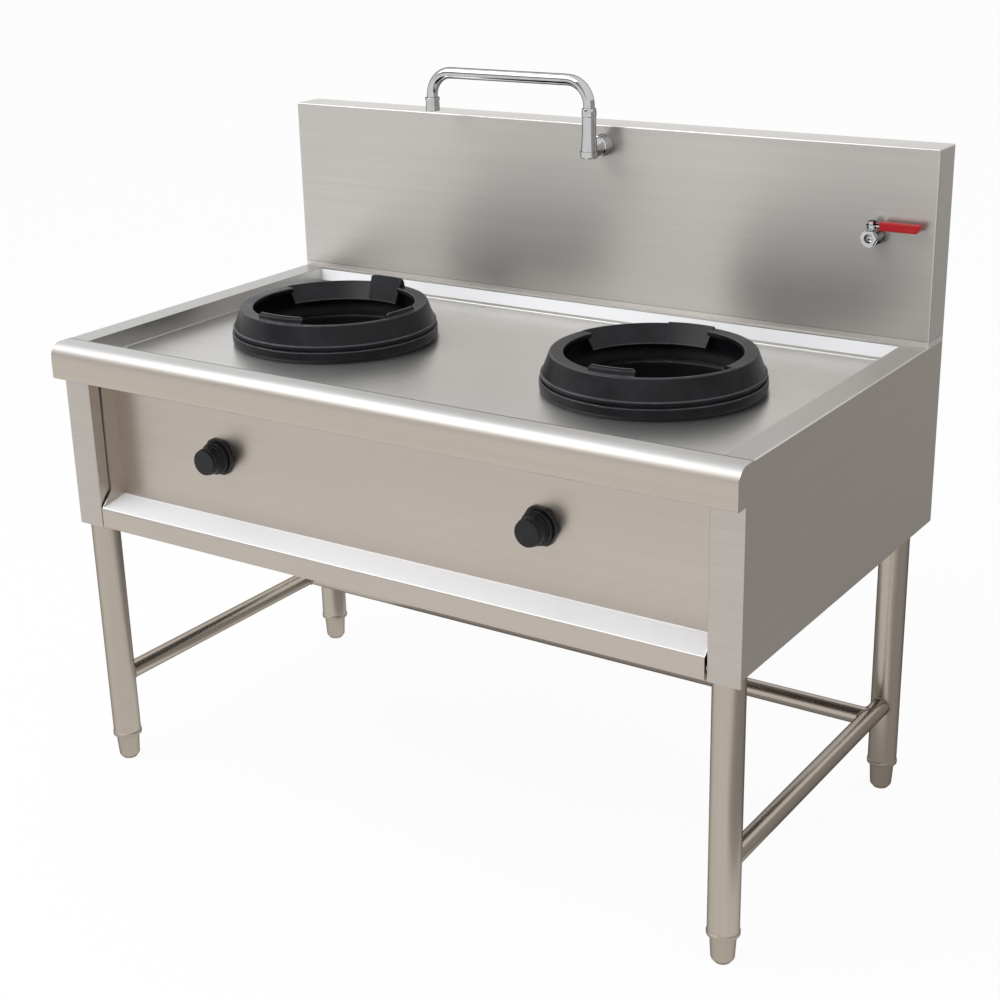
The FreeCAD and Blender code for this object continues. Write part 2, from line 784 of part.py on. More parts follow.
def make_gas_valve(x):
    body = rod(valve_radius, (x, panel_back_y, knob_z), (x, valve_rear_y, knob_z))
    neck = rod(valve_neck_radius, (x, neck_front_y, knob_z), (x, panel_back_y, knob_z))
    leg = rod(valve_leg_radius, (x, gas_pipe_y, knob_z), (x, gas_pipe_y, gas_pipe_z))
    leg_nut = hex_bar(1.3 * 2 * valve_leg_radius, (x, gas_pipe_y, gas_pipe_z + gas_pipe_radius + 6.0),
                      (x, gas_pipe_y, gas_pipe_z + gas_pipe_radius + 18.0))
    valve = joined([body, neck, leg, leg_nut])
    stem_end_y = panel_back_y + stem_inside
    stem_bore = rod(stem_radius + running_gap, (x, neck_front_y - 1, knob_z), (x, stem_end_y, knob_z))
    gas_bore = rod(gas_bore_radius, (x, stem_end_y, knob_z), (x, valve_rear_y, knob_z))
    leg_bore = rod(gas_bore_radius, (x, gas_pipe_y, knob_z), (x, gas_pipe_y, gas_pipe_z))
    reach = 2 * gas_pipe_radius
    manifold = rod(gas_pipe_radius + weld_gap, (x - reach, gas_pipe_y, gas_pipe_z), (x + reach, gas_pipe_y, gas_pipe_z))
    return cut_all(valve, [stem_bore, gas_bore, leg_bore, manifold])


def make_injector(x):
    hex_end_y = valve_rear_y + injector_hex_length
    base = hex_bar(injector_hex, (x, valve_rear_y, knob_z), (x, hex_end_y, knob_z))
    taper_start = hex_end_y + injector_length / 2
    shank = rod(injector_radius, (x, hex_end_y, knob_z), (x, taper_start, knob_z))
    tip = Part.makeCone(injector_radius, injector_tip_radius, injector_length / 2,
                        V(x, taper_start, knob_z), V(0, 1, 0))
    bore = rod(injector_bore_radius, (x, valve_rear_y - 1, knob_z), (x, injector_tip_y + 1, knob_z))
    return joined([base, shank, tip]).cut(bore)


def d_shaft(x, radius, start_y, end_y, flat):
    shaft = rod(radius, (x, start_y, knob_z), (x, end_y, knob_z))
    if flat is None:
        return shaft
    return shaft.cut(box((x - 2 * radius, x + 2 * radius), (start_y - 1, end_y + 1),
                         (knob_z + flat, knob_z + 2 * radius)))


def make_valve_stem(x):
    inside = rod(stem_radius, (x, nut_front_y, knob_z), (x, panel_back_y + stem_inside - 1, knob_z))
    outside = d_shaft(x, stem_radius, knob_back_y - knob_socket + 1, nut_front_y, stem_flat)
    return joined([inside, outside])


def make_knob_nut(x):
    face_y = panel_y - nut_thickness
    nut = hex_bar(nut_hex, (x, panel_y, knob_z), (x, face_y, knob_z))
    chamfered = [(0, 0, 0), (nut_round_radius, 0, 0), (nut_round_radius, nut_thickness - nut_chamfer, 0),
                 (nut_round_radius - 2 * nut_chamfer, nut_thickness, 0), (0, nut_thickness, 0)]
    nut = nut.common(turned_forward(chamfered, x, panel_y, knob_z))
    shoulder = rod(nut_shoulder_radius, (x, face_y, knob_z), (x, nut_front_y, knob_z))
    thread = rod(valve_neck_radius + plug_gap, (x, panel_y + 1, knob_z), (x, neck_front_y, knob_z))
    passage = rod(stem_radius + hole_gap, (x, panel_y, knob_z), (x, nut_front_y - 1, knob_z))
    return cut_all(joined([nut, shoulder]), [thread, passage])


def make_knob(x):
    corners = [(0, 0, 0)]
    reach = 0.0
    for radius, length in knob_steps:
        corners += [(radius, reach, knob_edge / 4), (radius, reach + length, knob_edge)]
        reach += length
    corners.append((0, reach, 0))
    body = turned_forward(corners, x, knob_back_y, knob_z)
    socket = d_shaft(x, stem_radius + running_gap, knob_back_y - knob_socket, knob_back_y + 1,
                     stem_flat + running_gap)
    return body.cut(socket)


def pipe_run(points, radius):
    # straight rods with a ball at each turn
    pieces = []
    for start, end in zip(points, points[1:]):
        pieces.append(rod(radius, start, end))
    return pieces


def elbows(points, radius):
    return [Part.makeSphere(radius, V(*point)) for point in points[1:-1]]


def thread_groove_cut(radius, x, y, z):
    # ring-shaped cutter behind the thread of a pipe that ends at height z
    low, high = (x, y, z + thread_length), (x, y, z + thread_length + thread_groove)
    return pipe(radius + 1, 1 + thread_groove_depth, low, high)


def make_gas_manifold():
    first_x = -burner_x - gas_pipe_overhang
    points = [(first_x, gas_pipe_y, gas_pipe_z), (gas_run_x, gas_pipe_y, gas_pipe_z),
              (gas_run_x, gas_inlet_y, gas_pipe_z), (gas_run_x, gas_inlet_y, gas_inlet_z)]
    outer = pipe_run(points, gas_pipe_radius) + elbows(points, gas_pipe_radius + elbow_extra)
    cap_start = (first_x, gas_pipe_y, gas_pipe_z)
    cap_end = (first_x - gas_pipe_radius, gas_pipe_y, gas_pipe_z)
    outer.append(rod(gas_pipe_radius + elbow_extra, cap_start, cap_end))
    bore = gas_pipe_radius - gas_pipe_wall
    manifold = joined(outer).cut(pipe_run(points, bore) + elbows(points, bore))
    manifold = manifold.cut(thread_groove_cut(gas_pipe_radius, gas_run_x, gas_inlet_y, gas_inlet_z))
    for x in valve_xs().values():
        manifold = manifold.cut(rod(gas_bore_radius, (x, gas_pipe_y, gas_pipe_z), (x, gas_pipe_y, knob_z)))
    return manifold


# ---- tap ------------------------------------------------------------------------
def make_tap_body():
    arm = rod(tap_arm_radius, (tap_x, tap_axis_y, tap_z), (tap_x, splash_face_y, tap_z))
    tail = rod(tap_tail_radius, (tap_x, splash_face_y, tap_z), (tap_x, tail_end_y, tap_z))
    shoulder_z = tap_base_z + tap_base_height
    blend_z = tap_z + 2 * tap_sleeve_radius
    waist = tap_base_radius - tap_base_groove
    corners = [(0, tap_base_z, 0), (tap_base_radius, tap_base_z, 2.5), (tap_base_radius, shoulder_z, 0),
               (waist, shoulder_z, 0), (waist, shoulder_z + tap_base_groove, 0),
               (tap_sleeve_radius, blend_z, 8.0), (tap_sleeve_radius, tap_sleeve_top, 1.0), (0, tap_sleeve_top, 0)]
    cone = turned_forward([(0, tap_flange_length, 0), (tap_cone_radius, tap_flange_length, 0),
                           (tap_arm_radius, tap_reach, 0), (0, tap_reach, 0)], tap_x, splash_face_y, tap_z)
    body = joined([turned(corners, tap_x, tap_axis_y), cone, arm, tail])
    swivel_low = tap_sleeve_top - spout_engagement
    swivel = rod(spout_radius + running_gap, (tap_x, tap_axis_y, swivel_low), (tap_x, tap_axis_y, tap_sleeve_top + 1))
    up = rod(tap_bore_radius, (tap_x, tap_axis_y, tap_z), (tap_x, tap_axis_y, swivel_low))
    along = rod(tap_bore_radius, (tap_x, tap_axis_y, tap_z), (tap_x, tail_end_y + 1, tap_z))
    return cut_all(body, [swivel, up, along])


def make_tap_flange():
    # ribbed collar round the arm
    inner = tap_arm_radius + plug_gap
    pitch = tap_flange_length / tap_flange_ribs
    corners = [(inner, 0, 0)]
    for index in range(tap_flange_ribs):
        low, high = index * pitch, (index + 1) * pitch
        corners += [(tap_flange_radius, low, 0), (tap_flange_radius, high - tap_flange_groove, 1.0)]
        if index < tap_flange_ribs - 1:
            corners += [(tap_flange_radius - tap_flange_groove, high - tap_flange_groove, 0),
                        (tap_flange_radius - tap_flange_groove, high, 0)]
    corners += [(tap_cone_radius, tap_flange_length, 0), (inner, tap_flange_length, 0)]
    return turned_forward(corners, tap_x, splash_face_y, tap_z)


def make_swivel_nut():
    inner = spout_radius + 2 * running_gap + 0.2
    corners = [(inner, 0, 0), (swivel_nut_radius, 0, 1.0), (swivel_nut_radius, 0.7 * swivel_nut_height, 1.0),
               (spout_radius + 2.0, swivel_nut_height, 1.0), (inner, swivel_nut_height, 0)]
    return turned(corners, tap_x, tap_axis_y, tap_sleeve_top)


def spout_sweep(radius):
    start = V(tap_x, tap_axis_y, tap_sleeve_top - spout_engagement + 1)
    right_up = V(tap_x, tap_axis_y, spout_top - spout_bend)
    right_top = V(tap_x - spout_bend, tap_axis_y, spout_top)
    left_top = V(outlet_x + spout_bend, tap_axis_y, spout_top)
    left_down = V(outlet_x, tap_axis_y, spout_top - spout_bend)
    end = V(outlet_x, tap_axis_y, outlet_end_z + outlet_height - outlet_socket)
    inward = spout_bend * (1 - math.sqrt(0.5))
    right_mid = V(tap_x - inward, tap_axis_y, spout_top - inward)
    left_mid = V(outlet_x + inward, tap_axis_y, spout_top - inward)
    route = Part.Wire([Part.makeLine(start, right_up), Part.Arc(right_up, right_mid, right_top).toShape(),
                       Part.makeLine(right_top, left_top), Part.Arc(left_top, left_mid, left_down).toShape(),
                       Part.makeLine(left_down, end)])
    ring = Part.Wire([Part.makeCircle(radius, start, V(0, 0, 1))])
    return route.makePipeShell([ring], True, False)


def make_spout():
    return spout_sweep(spout_radius).cut(spout_sweep(spout_radius - spout_wall))


def make_outlet():
    inner = spout_radius - spout_wall
    socket = spout_radius + running_gap
    seat = outlet_height - outlet_socket
    corners = [(inner, 0, 0), (outlet_radius, 0, 1.0), (outlet_radius - 0.8, seat, 0),
               (outlet_radius + 0.4, seat, 0), (outlet_radius + 0.4, outlet_height, 1.0),
               (socket, outlet_height, 0), (socket, seat, 0), (inner, seat, 0)]
    return turned(corners, outlet_x, tap_axis_y, outlet_end_z)


def make_locknuts():
    nuts = []
    start_y = splash_face_y + sheet
    for x, z in ((tap_x, tap_z), (lever_valve_x, lever_valve_z)):
        nut = hex_bar(locknut_hex, (x, start_y, z), (x, start_y + locknut_thickness, z))
        nuts.append(nut.cut(rod(tap_tail_radius + plug_gap, (x, start_y, z), (x, start_y + locknut_thickness, z))))
    return Part.makeCompound(nuts)


# ---- lever valve -----------------------------------------------------------------
def make_lever_valve_body():
    x, z = lever_valve_x, lever_valve_z
    front_hex_y = lever_stem_y - lever_body_half
    rear_hex_y = lever_stem_y + lever_body_half
    front = hex_bar(lever_end_hex, (x, lever_front_y, z), (x, front_hex_y, z))
    middle = rod(lever_body_radius, (x, front_hex_y, z), (x, rear_hex_y, z))
    rear = hex_bar(lever_end_hex, (x, rear_hex_y, z), (x, splash_face_y, z))
    tail = rod(tap_tail_radius, (x, splash_face_y, z), (x, tail_end_y, z))
    tower = rod(tower_radius, (x, lever_stem_y, z), (x, lever_stem_y, z + tower_height - lever_gap))
    body = joined([front, middle, rear, tail, tower])
    flow = rod(lever_bore_radius, (x, lever_front_y - 1, z), (x, tail_end_y + 1, z))
    seat = Part.makeSphere(ball_radius + ball_gap, V(x, lever_stem_y, z))
    stem_bore = rod(lever_stem_radius + running_gap, (x, lever_stem_y, z), (x, lever_stem_y, z + tower_height))
    return cut_all(body, [flow, seat, stem_bore])


def make_ball_stem():
    x, y, z = lever_valve_x, lever_stem_y, lever_valve_z
    ball = Part.makeSphere(ball_radius, V(x, y, z))
    stem = rod(lever_stem_radius, (x, y, z), (x, y, z + lever_stem_height))
    bore = rod(lever_bore_radius, (x - 2 * ball_radius, y, z), (x + 2 * ball_radius, y, z))
    return joined([ball, stem]).cut(bore)


def make_lever():
    # flat strip from the stem to the right, shut when it lies along the splashback
    x, y = lever_valve_x, lever_stem_y
    hub = rod(lever_hub_radius, (x, y, lever_z), (x, y, lever_z + lever_strip))
    half = lever_strip_width / 2
    strip = box((x, x + lever_length), (y - half, y + half), (lever_z, lever_z + lever_strip))
    hole = rod(lever_stem_radius + running_gap, (x, y, lever_z - 1), (x, y, lever_z + lever_strip + 1))
    return joined([hub, strip]).cut(hole)


def make_lever_sleeve():
    x, y = lever_valve_x, lever_stem_y
    start = x + sleeve_start
    end = x + lever_length + sleeve_end_skin
    middle = lever_z + lever_strip / 2
    half_h, half_w = sleeve_height / 2, sleeve_width / 2
    corners = [(start, middle - half_h, 1.5), (end - sleeve_height * 0.45, middle - half_h, 3.0),
               (end, middle + half_h * 0.5, 2.0), (end, middle + half_h, 1.0), (start, middle + half_h, 1.5)]
    grip = outline(corners, in_xz(y - half_w)).extrude(V(0, sleeve_width, 0))
    long_edges = [e for e in grip.Edges if e.BoundBox.YLength < 1e-6 and e.BoundBox.XLength > lever_length / 2]
    grip = grip.makeFillet(2.0, long_edges)
    half = lever_strip_width / 2 + plug_gap
    pocket = box((start - 1, x + lever_length + plug_gap), (y - half, y + half),
                 (lever_z - plug_gap, lever_z + lever_strip + plug_gap))
    return grip.cut(pocket)


def make_lever_nut():
    x, y = lever_valve_x, lever_stem_y
    low = lever_z + lever_strip
    nut = hex_bar(lever_nut_hex, (x, y, low), (x, y, low + lever_nut_height))
    return nut.cut(rod(lever_stem_radius + running_gap, (x, y, low), (x, y, low + lever_nut_height)))


def make_water_pipe():
    riser = (lever_valve_x, pipe_y)
    to_valve = [(*riser, water_inlet_z), (*riser, lever_valve_z), (lever_valve_x, tail_end_y, lever_valve_z)]
    to_tap = [(*riser, water_branch_z), (tap_x, pipe_y, water_branch_z), (tap_x, pipe_y, tap_z),
              (tap_x, tail_end_y, tap_z)]
    big = water_pipe_radius + elbow_extra
    outer = pipe_run(to_valve, water_pipe_radius) + elbows(to_valve, big)
    outer += pipe_run(to_tap, water_pipe_radius) + elbows(to_tap, big)
    outer.append(Part.makeSphere(big, V(*to_tap[0])))
    bore = water_pipe_radius - water_pipe_wall
    inner = pipe_run(to_valve, bore) + elbows(to_valve, bore) + pipe_run(to_tap, bore) + elbows(to_tap, bore)
    trimmed = joined(outer).cut(inner)
    trimmed = trimmed.cut(thread_groove_cut(water_pipe_radius, *riser, water_inlet_z))
    reach = big + 1
    for x, z in ((tap_x, tap_z), (lever_valve_x, lever_valve_z)):
        trimmed = trimmed.cut(box((x - reach, x + reach), (splash_face_y, tail_end_y), (z - reach, z + reach)))
    return trimmed


# ---- all nodes --------------------------------------------------------------------
def build_nodes():
    nodes = {
        "worktop_pan": make_worktop_pan(),
        "front_nose": make_front_nose(),
        "control_panel": make_control_panel(),
        "rear_panel": make_rear_panel(),
        "splash_skin": make_splash_skin(),
        "splash_back": make_splash_back(),
        "back_screws": make_back_screws(),
        "pan_stiffener": make_pan_stiffener(),
        "burner_bearer": make_burner_bearer(),
        "foot_inserts": make_foot_inserts(),
        "cross_stretcher": make_cross_stretcher(),
        "gas_manifold": make_gas_manifold(),
        "tap_body": make_tap_body(),
        "tap_flange": make_tap_flange(),
        "swivel_nut": make_swivel_nut(),
        "spout": make_spout(),
        "spout_outlet": make_outlet(),
        "pipe_locknuts": make_locknuts(),
        "lever_valve_body": make_lever_valve_body(),
        "ball_stem": make_ball_stem(),
        "valve_lever": make_lever(),
        "lever_sleeve": make_lever_sleeve(),
        "lever_nut": make_lever_nut(),
        "water_pipe": make_water_pipe(),
        "wok_ring_left": make_wok_ring(-burner_x, left_ring_pads),
        "wok_ring_right": make_wok_ring(burner_x, right_ring_pads),
    }
    for name, shape in (("nose_cap", make_nose_cap()), ("side_panel", make_side_panel()),
                        ("side_stretcher", make_side_stretcher())):
        for side, half in both_sides(shape).items():
            nodes[f"{name}_{side}"] = half
    for corner, (x, y) in leg_places().items():
        nodes[f"leg_{corner}"] = make_leg(x, y)
        nodes[f"leg_socket_{corner}"] = make_leg_socket(x, y)
        nodes[f"foot_{corner}"] = make_foot(x, y)
    for side, x in valve_xs().items():
        centre_x = x - valve_offset
        nodes[f"burner_chamber_{side}"] = make_burner_chamber(centre_x)
        nodes[f"burner_{side}"] = make_burner(centre_x, x)
        nodes[f"injector_{side}"] = make_injector(x)
        nodes[f"gas_valve_{side}"] = make_gas_valve(x)
        nodes[f"valve_stem_{side}"] = make_valve_stem(x)
        nodes[f"knob_nut_{side}"] = make_knob_nut(x)
        nodes[f"knob_{side}"] = make_knob(x)
    return nodes


def main():
    os.makedirs("parts", exist_ok=True)
    nodes = build_nodes()
    for name, shape in nodes.items():
        shape.exportStep(f"parts/{name}.step")
        print(f"{name}: {len(shape.Solids)} solids, {shape.Volume / 1000:.1f} cm3, valid {shape.isValid()}")
    print(f"{len(nodes)} nodes")


main()
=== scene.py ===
import math

import bmesh
import bpy
from mathutils import Matrix, Vector


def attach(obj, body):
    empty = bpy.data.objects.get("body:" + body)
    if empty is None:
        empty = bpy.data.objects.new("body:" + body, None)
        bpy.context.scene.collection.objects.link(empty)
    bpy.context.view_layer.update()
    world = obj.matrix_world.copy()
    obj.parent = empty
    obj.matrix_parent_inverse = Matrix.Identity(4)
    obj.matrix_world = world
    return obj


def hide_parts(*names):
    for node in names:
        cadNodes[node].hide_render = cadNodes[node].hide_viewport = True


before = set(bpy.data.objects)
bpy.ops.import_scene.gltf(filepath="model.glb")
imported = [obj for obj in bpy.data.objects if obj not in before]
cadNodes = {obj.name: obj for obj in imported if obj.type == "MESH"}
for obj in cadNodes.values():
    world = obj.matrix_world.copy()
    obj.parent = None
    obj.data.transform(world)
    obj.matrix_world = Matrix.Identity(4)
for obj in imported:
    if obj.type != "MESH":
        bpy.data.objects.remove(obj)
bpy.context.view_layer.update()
print("range loaded:", len(cadNodes), "nodes")


# camera: where the photo was taken from, in metres and radians, its lens and sensor in mm
shot = {
    "place": (1.6156, -2.36925, 1.5846),
    "turn": 0.594,
    "tilt": -0.355,
    "roll": -0.024,
    "lens": 63.55,
    "sensor": 36,
    "clipStart": 0.05,
}


def placeCamera(s):
    forward = Vector((-math.sin(s["turn"]) * math.cos(s["tilt"]),
                      math.cos(s["turn"]) * math.cos(s["tilt"]), math.sin(s["tilt"])))
    level = Vector((math.cos(s["turn"]), math.sin(s["turn"]), 0))
    upward = level.cross(forward)
    right = level * math.cos(s["roll"]) + upward * math.sin(s["roll"])
    top = upward * math.cos(s["roll"]) - level * math.sin(s["roll"])
    data = bpy.data.cameras.new("shotCamera")
    data.lens = s["lens"]
    data.sensor_width = s["sensor"]
    data.clip_start = s["clipStart"]
    camera = bpy.data.objects.new("shotCamera", data)
    turned = Matrix((right, top, -forward)).transposed().to_4x4()
    camera.matrix_world = Matrix.Translation(s["place"]) @ turned
    bpy.context.collection.objects.link(camera)
    bpy.context.scene.camera = camera


placeCamera(shot)
bpy.context.scene.view_settings.view_transform = "Standard"
print("camera placed")


# small node helpers
def makeMaterial(name):
    mat = bpy.data.materials.new(name)
    mat.use_nodes = True
    return mat, mat.node_tree, mat.node_tree.nodes["Principled BSDF"]


def addNode(tree, kind, **values):
    node = tree.nodes.new(kind)
    for key, value in values.items():
        setattr(node, key, value)
    return node


def stretched(tree, scale):
    place = addNode(tree, "ShaderNodeTexCoord")
    mapping = addNode(tree, "ShaderNodeMapping")
    mapping.inputs["Scale"].default_value = scale
    tree.links.new(place.outputs["Object"], mapping.inputs["Vector"])
    return mapping.outputs["Vector"]


def noise(tree, stretch=(1, 1, 1), scale=1.0, detail=3.0, rough=0.55):
    vector = stretched(tree, stretch)
    node = addNode(tree, "ShaderNodeTexNoise")
    node.inputs["Scale"].default_value = scale
    node.inputs["Detail"].default_value = detail
    node.inputs["Roughness"].default_value = rough
    tree.links.new(vector, node.inputs["Vector"])
    return node.outputs["Fac"]


def remap(tree, value, low, high, fromLow=0.3, fromHigh=0.7):
    node = addNode(tree, "ShaderNodeMapRange")
    node.inputs["From Min"].default_value = fromLow
    node.inputs["From Max"].default_value = fromHigh
    node.inputs["To Min"].default_value = low
    node.inputs["To Max"].default_value = high
    tree.links.new(value, node.inputs["Value"])
    return node.outputs["Result"]


def mathOf(tree, operation, first, second):
    node = addNode(tree, "ShaderNodeMath", operation=operation)
    for index, item in enumerate((first, second)):
        if isinstance(item, (int, float)):
            node.inputs[index].default_value = item
        else:
            tree.links.new(item, node.inputs[index])
    return node.outputs["Value"]


def blendColor(tree, factor, first, second):
    node = addNode(tree, "ShaderNodeMix", data_type="RGBA")
    for socket, item in ((node.inputs[6], first), (node.inputs[7], second)):
        if isinstance(item, (tuple, list)):
            socket.default_value = (*item[:3], 1)
        else:
            tree.links.new(item, socket)
    tree.links.new(factor, node.inputs[0])
    return node.outputs[2]


def bump(tree, shader, height, strength, distance, after=None):
    node = addNode(tree, "ShaderNodeBump")
    node.inputs["Strength"].default_value = strength
    node.inputs["Distance"].default_value = distance
    tree.links.new(height, node.inputs["Height"])
    if after is not None:
        tree.links.new(after, node.inputs["Normal"])
    tree.links.new(node.outputs["Normal"], shader.inputs["Normal"])
    return node.outputs["Normal"]


def scaledColor(color, factor):
    return tuple(min(1.0, part * factor) for part in color[:3])


# stainless sheet and tube: brushed along one direction, slightly uneven and handled
# grain stretches the scratches, pull is how far they draw a reflection out along across, edge is how much
# the metal throws back at a flat view, set low on the tubes as painted shade that darkens their outline
sheetLook = {"grain": (0.7, 220, 220), "across": (0, 1, 1), "edge": 1.0}
# tubes: edge 0.3 paints their outlines darker, painted shade
tubeLook = {"color": (0.47, 0.415, 0.36), "pull": 0.0, "edge": 0.3}
steelLooks = {
    "noseSteel": {**sheetLook, "color": (0.53, 0.475, 0.42), "pull": 0.3, "rough": (0.40, 0.46)},
    "traySteel": {**sheetLook, "color": (0.51, 0.455, 0.405), "pull": 0.5, "rough": (0.30, 0.36)},
    "topSteel": {**sheetLook, "color": (0.57, 0.562, 0.548), "pull": 0.7, "rough": (0.27, 0.33)},
    "splashSteel": {**sheetLook, "color": (0.585, 0.565, 0.54), "pull": 0.7, "rough": (0.31, 0.36)},
    "sideSteel": {"color": (0.495, 0.455, 0.42), "grain": (0.7, 0.7, 220), "across": (0, 0, 1),
                  "pull": 0.5, "rough": (0.27, 0.34), "edge": 1.0},
    "legSteel": {**tubeLook, "grain": (130, 130, 0.9), "across": (0, 0, 1), "rough": (0.27, 0.35)},
    "footSteel": {**tubeLook, "color": (0.42, 0.365, 0.31), "grain": (130, 130, 0.9),
                  "across": (0, 0, 1), "rough": (0.32, 0.40)},
    "sideTubeSteel": {**tubeLook, "grain": (130, 0.9, 130), "across": (0, 1, 0), "rough": (0.22, 0.29)},
    "crossTubeSteel": {**tubeLook, "grain": (0.9, 130, 130), "across": (1, 0, 0), "rough": (0.22, 0.29)},
    "innerSteel": {**sheetLook, "color": (0.46, 0.45, 0.44), "grain": (0.7, 260, 260), "pull": 0.3,
                   "rough": (0.36, 0.46)},
}
# what all brushed steel shares: sizes and shares of the noises, their range, and the sheet's slow waves
brushing = {
    "broadGrain": 0.16, "smudge": (4, 4, 4), "waves": (1.6, 1.6, 1.6), "range": (0.2, 0.8),
    "fineShare": 0.6, "broadShare": 0.4, "darker": 0.95, "lighter": 1.05, "sheenSwing": 0.008,
    "waveStrength": 0.25, "waveDepth": 0.003,
}
# strips that show almost white as a painted highlight where they face one way: the ledge of the tray and the
# back wall of the well
paintedHighlightStrips = {
    "traySteel": {"bands": ((2, 0.5040, 0.5215),), "facing": 2, "side": 1},
    "topSteel": {"bands": ((1, 0.3000, 0.3200), (2, 0.7805, 0.8030)), "facing": 1, "side": -1},
}
paintedHighlightLook = {"color": (0.935, 0.945, 0.97), "metal": 0.12, "rough": 0.5, "turned": 0.6}
# joints and marks of the sheets: a dark seam line, partly the joint itself and partly painted shade in its
# gap, rims darker than the well floors, a painted highlight along the worktop's outer edge, a painted
# reflection on the nose's top, and a painted shadow line and painted highlight at the splashback's foot
details = {
    "seamAt": 0.3295, "seamFull": 0.0010, "seamGone": 0.0024, "seamAndShadowColor": (0.10, 0.095, 0.09),
    "seamAndShadowDepth": 0.8,
    "rimAbove": 0.8035, "rimShade": 0.80,
    "edgeAt": 0.6500, "edgeFull": 0.0010, "edgeGone": 0.0026, "edgeHighlightColor": (0.88, 0.87, 0.86),
    "footTop": 0.8150, "footLine": 0.8137, "footHighlight": 1.22, "footShadow": 0.62,
    "noseTopReflection": (0.51, 0.505, 0.50),
}


def insideBand(tree, value, low, high):
    above = mathOf(tree, "GREATER_THAN", value, low)
    below = mathOf(tree, "LESS_THAN", value, high)
    return mathOf(tree, "MULTIPLY", above, below)


def partsOf(tree, output):
    # x, y and z of the place or of the normal, in the frame of the whole range
    place = addNode(tree, "ShaderNodeTexCoord")
    parts = addNode(tree, "ShaderNodeSeparateXYZ")
    tree.links.new(place.outputs[output], parts.inputs[0])
    return parts.outputs


def paintedHighlightMask(tree, strip):
    where = partsOf(tree, "Object")
    facing = mathOf(tree, "MULTIPLY", partsOf(tree, "Normal")[strip["facing"]], strip["side"])
    mask = mathOf(tree, "GREATER_THAN", facing, paintedHighlightLook["turned"])
    for axis, low, high in strip["bands"]:
        mask = mathOf(tree, "MULTIPLY", mask, insideBand(tree, where[axis], low, high))
    return mask


def lineMask(tree, axis, at, full, gone):
    # line along a joint or an edge, as far out on both sides of the range's middle
    away = mathOf(tree, "ABSOLUTE", partsOf(tree, "Object")[axis], 0.0)
    away = mathOf(tree, "ABSOLUTE", mathOf(tree, "SUBTRACT", away, at), 0.0)
    return remap(tree, away, 1.0, 0.0, full, gone)


def markSheet(tree, name, look, tone):
    # what shows on one sheet only: darker rim, painted highlight along the outer edge, painted reflection on
    # the rounded top, welded seam with painted shade in its gap, painted shadow and highlight lines at the
    # foot
    height = partsOf(tree, "Object")[2]
    if name == "topSteel":
        rim = mathOf(tree, "GREATER_THAN", height, details["rimAbove"])
        tone = blendColor(tree, rim, tone, scaledColor(look["color"], details["rimShade"]))
        # painted highlight: a pale line along the worktop's outer edge on the rim
        line = lineMask(tree, 0, details["edgeAt"], details["edgeFull"], details["edgeGone"])
        tone = blendColor(tree, mathOf(tree, "MULTIPLY", rim, line), tone, details["edgeHighlightColor"])
    # painted reflection: the nose turns a neutral grey where it faces up
    if name == "noseSteel":
        upward = remap(tree, partsOf(tree, "Normal")[2], 0.0, 1.0, *brushing["range"])
        tone = blendColor(tree, upward, tone, details["noseTopReflection"])
    # dark line at the seam of the nose and the worktop: partly the joint itself, partly painted shade in its
    # gap
    if name in ("topSteel", "noseSteel"):
        seam = lineMask(tree, 1, details["seamAt"], details["seamFull"], details["seamGone"])
        seam = mathOf(tree, "MULTIPLY", seam, details["seamAndShadowDepth"])
        tone = blendColor(tree, seam, tone, details["seamAndShadowColor"])
    # painted shadow line across the splashback's foot, and below it a painted highlight along the bend
    if name == "splashSteel":
        for top, shade in (("footTop", "footShadow"), ("footLine", "footHighlight")):
            foot = mathOf(tree, "LESS_THAN", height, details[top])
            tone = blendColor(tree, foot, tone, scaledColor(look["color"], details[shade]))
    return tone


def brushedSteel(name, look):
    b = brushing
    mat, tree, shader = makeMaterial(name)
    fine = noise(tree, look["grain"], detail=1.0, rough=0.4)
    broad = noise(tree, [part * b["broadGrain"] for part in look["grain"]], detail=2.0)
    smudge = noise(tree, b["smudge"], detail=3.0, rough=0.5)
    waves = noise(tree, b["waves"], detail=1.0)
    streak = mathOf(tree, "ADD", mathOf(tree, "MULTIPLY", fine, b["fineShare"]),
                    mathOf(tree, "MULTIPLY", broad, b["broadShare"]))
    dark = scaledColor(look["color"], b["darker"])
    light = scaledColor(look["color"], b["lighter"])
    tone = blendColor(tree, remap(tree, streak, 0.0, 1.0, *b["range"]), dark, light)
    low, high = look["rough"]
    sheen = mathOf(tree, "ADD", remap(tree, smudge, low, high, *b["range"]),
                   remap(tree, broad, -b["sheenSwing"], b["sheenSwing"], 0.0, 1.0))
    shader.inputs["Metallic"].default_value = 1.0
    # painted highlight: strips facing one way are made almost white, rougher and hardly metallic
    if name in paintedHighlightStrips:
        bright = paintedHighlightMask(tree, paintedHighlightStrips[name])
        tone = blendColor(tree, bright, tone, paintedHighlightLook["color"])
        dulled = mathOf(tree, "MULTIPLY", bright, paintedHighlightLook["rough"] - high)
        sheen = mathOf(tree, "ADD", sheen, dulled)
        tree.links.new(remap(tree, bright, 1.0, paintedHighlightLook["metal"], 0.0, 1.0), shader.inputs["Metallic"])
    tree.links.new(markSheet(tree, name, look, tone), shader.inputs["Base Color"])
    tree.links.new(sheen, shader.inputs["Roughness"])
    shader.inputs["Anisotropic"].default_value = look["pull"]
    along = addNode(tree, "ShaderNodeCombineXYZ")
    for index, part in enumerate(look["across"]):
        along.inputs[index].default_value = part
    tree.links.new(along.outputs["Vector"], shader.inputs["Tangent"])
    bump(tree, shader, waves, b["waveStrength"], b["waveDepth"])
    shader.inputs["Specular Tint"].default_value = (look["edge"], look["edge"], look["edge"], 1)
    return mat


